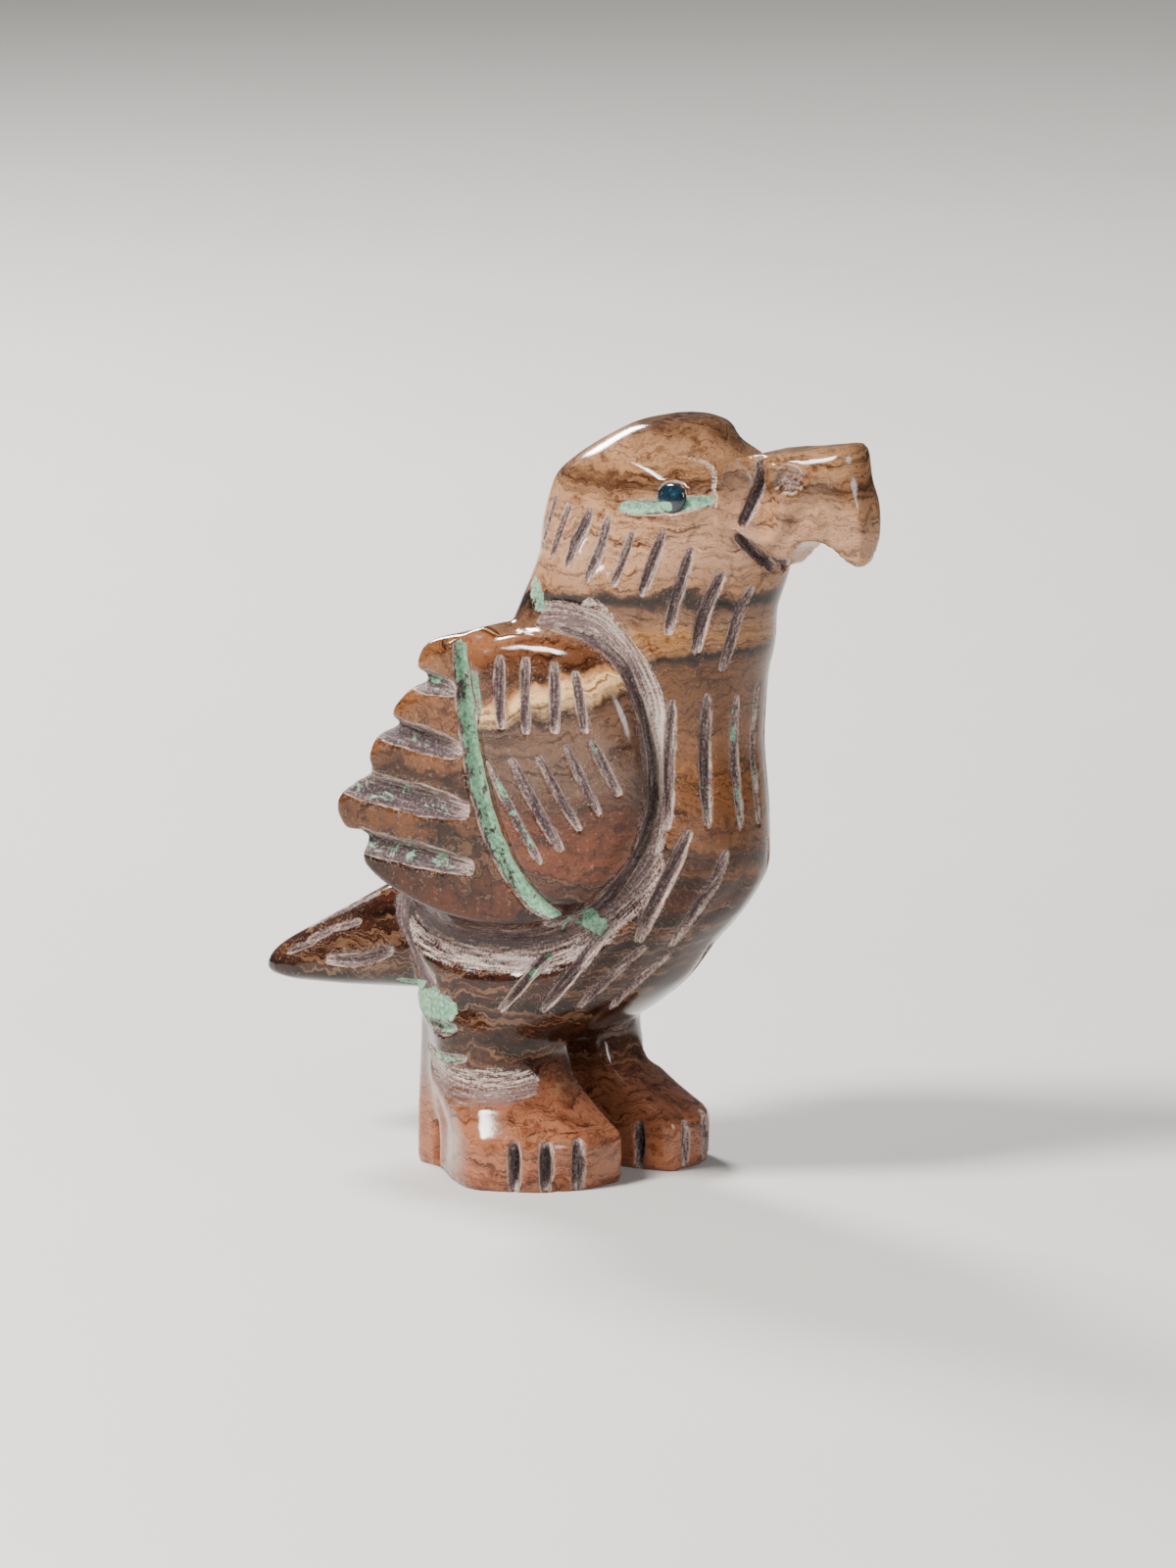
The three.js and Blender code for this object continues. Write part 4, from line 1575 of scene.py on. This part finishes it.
@dataclass(frozen=True)
class EyeStone:
    """A dark blue-black polished stone with faint lighter flecks."""

    FLECK = (96, 132, 130)
    COMPOUND = (118, 170, 138)
    shades: Beds = ((0.35, 8, 14, 24), (0.6, 18, 42, 56), (0.75, 44, 84, 92))
    relief: float = 0.004

    def make(self) -> bpy.types.Material:
        """Mixes the material.

        Returns:
            The material.
        """
        paint = Paint("eye_stone")
        spot = paint.spot()
        cloud = paint.noise(spot, 1.6, 4.0, 0.6)
        fleck = paint.noise(spot, 6.0, 2.0, 0.7)
        colour = paint.shades(cloud, BandedStone.stops(self.shades))
        colour = paint.blend(fleck.step(0.62, 0.75) * 0.4, colour, srgb(*self.FLECK))
        green = (paint.mark("green") + (cloud - 0.5) * 0.5).step(0.45, 0.6)
        colour = paint.blend(green * 0.9, colour, srgb(*self.COMPOUND))
        rough = 0.08 + fleck * 0.08 + green * 0.4
        values = {
            "Base Color": colour,
            "Roughness": rough,
            "Coat Weight": 0.6 - green * 0.6,
            "Coat Roughness": 0.04,
        }
        return paint.surface(values, fleck, self.relief)


@dataclass(frozen=True)
class Eye:
    """A round stone set flush in its socket, its face ground to a low dome.

    Args:
        diameter: How wide it is.
        depth: How thick it is.
        set_back: How far its rim lies under the socket's mouth.
        dome: How far its middle stands above its rim.
        edge: The rounding of its rim.
        rounding: Steps of that rounding.
        rings: Rings of faces on the dome.
        sides: Points round it.
        smear: A place on the upper edge of the compound over it, and that edge's slope.
    """

    INSET = 0.12
    TOP = 0.001
    SMEAR_WIDTH = (-0.2, 0.55, 0.16)
    SMEAR_END = 11.3
    SMEAR_BOW = (0.9, 0.2)
    SMEAR_FADE = 0.6
    diameter: float = 2.08
    depth: float = 1.0
    set_back: float = 0.06
    dome: float = 0.14
    edge: float = 0.1
    rounding: int = 3
    rings: int = 6
    sides: int = 64
    smear: Spot = (9.6, 50.0, 0.12)

    def build(self, hand: int, seat: tuple[np.ndarray, np.ndarray]) -> bpy.types.Object:
        """Makes the stone on one side of the head.

        Args:
            hand: 1 on the bird's left, -1 on its right.
            seat: The middle of the socket's mouth and the way out of it.

        Returns:
            The piece.
        """
        bm = bmesh.new()
        radius = self.diameter / 2
        bmesh.ops.create_cone(
            bm, cap_ends=True, segments=self.sides, radius1=radius, radius2=radius, depth=self.depth
        )
        rim = [edge for edge in bm.edges if all(vert.co.z > 0 for vert in edge.verts)]
        bmesh.ops.bevel(
            bm, geom=rim, offset=self.edge, segments=self.rounding, profile=0.5, affect="EDGES", material=-1
        )
        top = [max(bm.faces, key=lambda face: face.calc_center_median().z)]
        for _ in range(self.rings):
            bmesh.ops.inset_region(bm, faces=top, thickness=radius * self.INSET, use_even_offset=True)
        bmesh.ops.poke(bm, faces=top)
        for vert in bm.verts:
            if vert.co.z > self.depth / 2 - self.TOP:
                away = math.hypot(vert.co.x, vert.co.y) / radius
                vert.co.z += self.dome * (1 - away * away)
        mouth, way = seat
        turn = Vector((0, 0, 1)).rotation_difference(Vector(way)).to_matrix()
        bmesh.ops.rotate(bm, verts=bm.verts, cent=(0, 0, 0), matrix=turn)
        middle = Vector(mouth) - Vector(way) * (self.depth / 2 + self.set_back)
        bmesh.ops.translate(bm, verts=bm.verts, vec=middle)
        green = [self.smeared(vert.co) for vert in bm.verts]
        bmesh.ops.translate(bm, verts=bm.verts, vec=SHIFT)
        bmesh.ops.scale(bm, verts=bm.verts, vec=(MM, MM, MM))
        mesh = bpy.data.meshes.new("eye_inlay")
        bm.to_mesh(mesh)
        bm.free()
        mesh.attributes.new("green", "FLOAT", "POINT").data.foreach_set("value", green)
        mesh.shade_smooth()
        piece = bpy.data.objects.new("eye_inlay_" + ("left" if hand > 0 else "right"), mesh)
        bpy.context.scene.collection.objects.link(piece)
        return piece

    def smeared(self, spot: Vector) -> float:
        """Finds how much compound lies over a place on the eye, which is its lower part towards the nape.

        Args:
            spot: The place.

        Returns:
            The compound, 0 to 1.
        """
        x, z, slope = self.smear
        below = z + slope * (spot.x - x) - spot.z
        bow, middle = self.SMEAR_BOW
        end = self.SMEAR_END - bow * (below - middle) ** 2
        ahead = ramp(np.array(spot.x), end - self.SMEAR_FADE, end)
        return float(bump(np.array(below), *self.SMEAR_WIDTH) * (1 - ahead))


@dataclass(frozen=True)
class Studio:
    """A pale floor, soft lights and a camera at the photograph's viewing angle.

    Args:
        azimuth: Degrees that the camera is turned from the bird's right side towards its front.
        elevation: Degrees that it looks down.
        distance: How far off it is, in millimetres.
        pixels_to_mm: The scale of the picture.
        image_height: The height of the picture in pixels.
        aim: Where the picture's middle is, across and up, in millimetres.
        spread: The size of the floor, in metres.
    """

    # Each light's name, place and width in metres, power in watts, and tint.
    LIGHTS = (
        ("key", (-0.14, -0.36, 0.44), 0.18, 8.5, (1.0, 0.97, 0.93)),
        ("rim", (-0.38, 0.22, 0.3), 0.14, 4.5, (1.0, 0.98, 0.96)),
        ("fill", (0.46, -0.2, 0.2), 0.2, 1.4, (0.95, 0.98, 1.0)),
    )
    LOOK_AT = (0.0, 0.0, 0.03)
    SKY = (0.8, 0.82, 0.85, 1.0)
    SKY_STRENGTH = 0.16
    FLOOR = ((200, 198, 194), (208, 206, 202))
    FLOOR_ROUGHNESS = 0.6
    FLOOR_RELIEF = 0.01
    CLIP = (0.01, 20.0)
    azimuth: float = 36.0
    elevation: float = 10.0
    distance: float = 1500.0
    pixels_to_mm: float = 14.27
    image_height: float = 1600.0
    aim: Pair = (-0.673, 27.68)
    spread: float = 2.5

    def place(self) -> None:
        """Sets up the floor, the lights and the camera."""
        self.floor()
        self.camera()
        for light in self.LIGHTS:
            self.light(*light)
        world = bpy.data.worlds.new("studio")
        world.use_nodes = True
        sky = world.node_tree.nodes["Background"].inputs
        sky["Color"].default_value = self.SKY
        sky["Strength"].default_value = self.SKY_STRENGTH
        bpy.context.scene.world = world

    def floor(self) -> None:
        """Lays the flat floor."""
        bm = bmesh.new()
        bmesh.ops.create_grid(bm, x_segments=1, y_segments=1, size=self.spread)
        mesh = bpy.data.meshes.new("floor")
        bm.to_mesh(mesh)
        bm.free()
        floor = bpy.data.objects.new("floor", mesh)
        bpy.context.scene.collection.objects.link(floor)
        paint = Paint("floor")
        grain = paint.noise(paint.spot(), 0.02, 3.0)
        colour = paint.blend(grain, *(srgb(*shade) for shade in self.FLOOR))
        values = {"Base Color": colour, "Roughness": self.FLOOR_ROUGHNESS}
        floor.data.materials.append(paint.surface(values, grain, self.FLOOR_RELIEF))

    def camera(self) -> None:
        """Places the camera."""
        turn, lift = math.radians(self.azimuth), math.radians(self.elevation)
        back = Vector((math.sin(turn) * math.cos(lift), -math.cos(turn) * math.cos(lift), math.sin(lift)))
        right = Vector((math.cos(turn), math.sin(turn), 0.0))
        up = right.cross(-back)
        target = right * self.aim[0] + up * self.aim[1] + SHIFT
        data = bpy.data.cameras.new("camera")
        data.sensor_fit = "VERTICAL"
        data.angle = 2 * math.atan(self.image_height / 2 / (self.pixels_to_mm * self.distance))
        data.clip_start, data.clip_end = self.CLIP
        camera = bpy.data.objects.new("camera", data)
        camera.location = (target + back * self.distance) * MM
        camera.rotation_euler = back.to_track_quat("Z", "Y").to_euler()
        bpy.context.scene.collection.objects.link(camera)
        bpy.context.scene.camera = camera

    def light(self, name: str, place: Spot, size: float, power: float, colour: Spot) -> None:
        """Adds a soft round light that looks at the bird.

        Args:
            name: Its name.
            place: Where it stands, in metres.
            size: How wide it is, in metres.
            power: Its power, in watts.
            colour: Its tint.
        """
        data = bpy.data.lights.new(name, "AREA")
        data.shape = "DISK"
        data.size = size
        data.energy = power
        data.color = colour
        lamp = bpy.data.objects.new(name, data)
        lamp.location = place
        aim = Vector(place) - Vector(self.LOOK_AT)
        lamp.rotation_euler = aim.to_track_quat("Z", "Y").to_euler()
        bpy.context.scene.collection.objects.link(lamp)


def main() -> None:
    """Builds the bird, its eyes and the studio, and reports each piece."""
    logging.basicConfig(level=logging.INFO, format="%(name)s: %(message)s")
    body = EagleBody()
    stone = body.build()
    stone.data.materials.append(BandedStone().make())
    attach(stone, "root")
    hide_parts(BODY_NODE)
    log.info("%s: %d points, %d faces", stone.name, len(stone.data.vertices), len(stone.data.polygons))
    finish = EyeStone().make()
    for hand, node in EYE_NODES.items():
        eye = Eye().build(hand, body.eye_seats[hand])
        eye.data.materials.append(finish)
        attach(eye, "root")
        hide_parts(node)
        log.info("%s: %d faces", eye.name, len(eye.data.polygons))
    Studio().place()


if __name__ == "__main__":
    main()
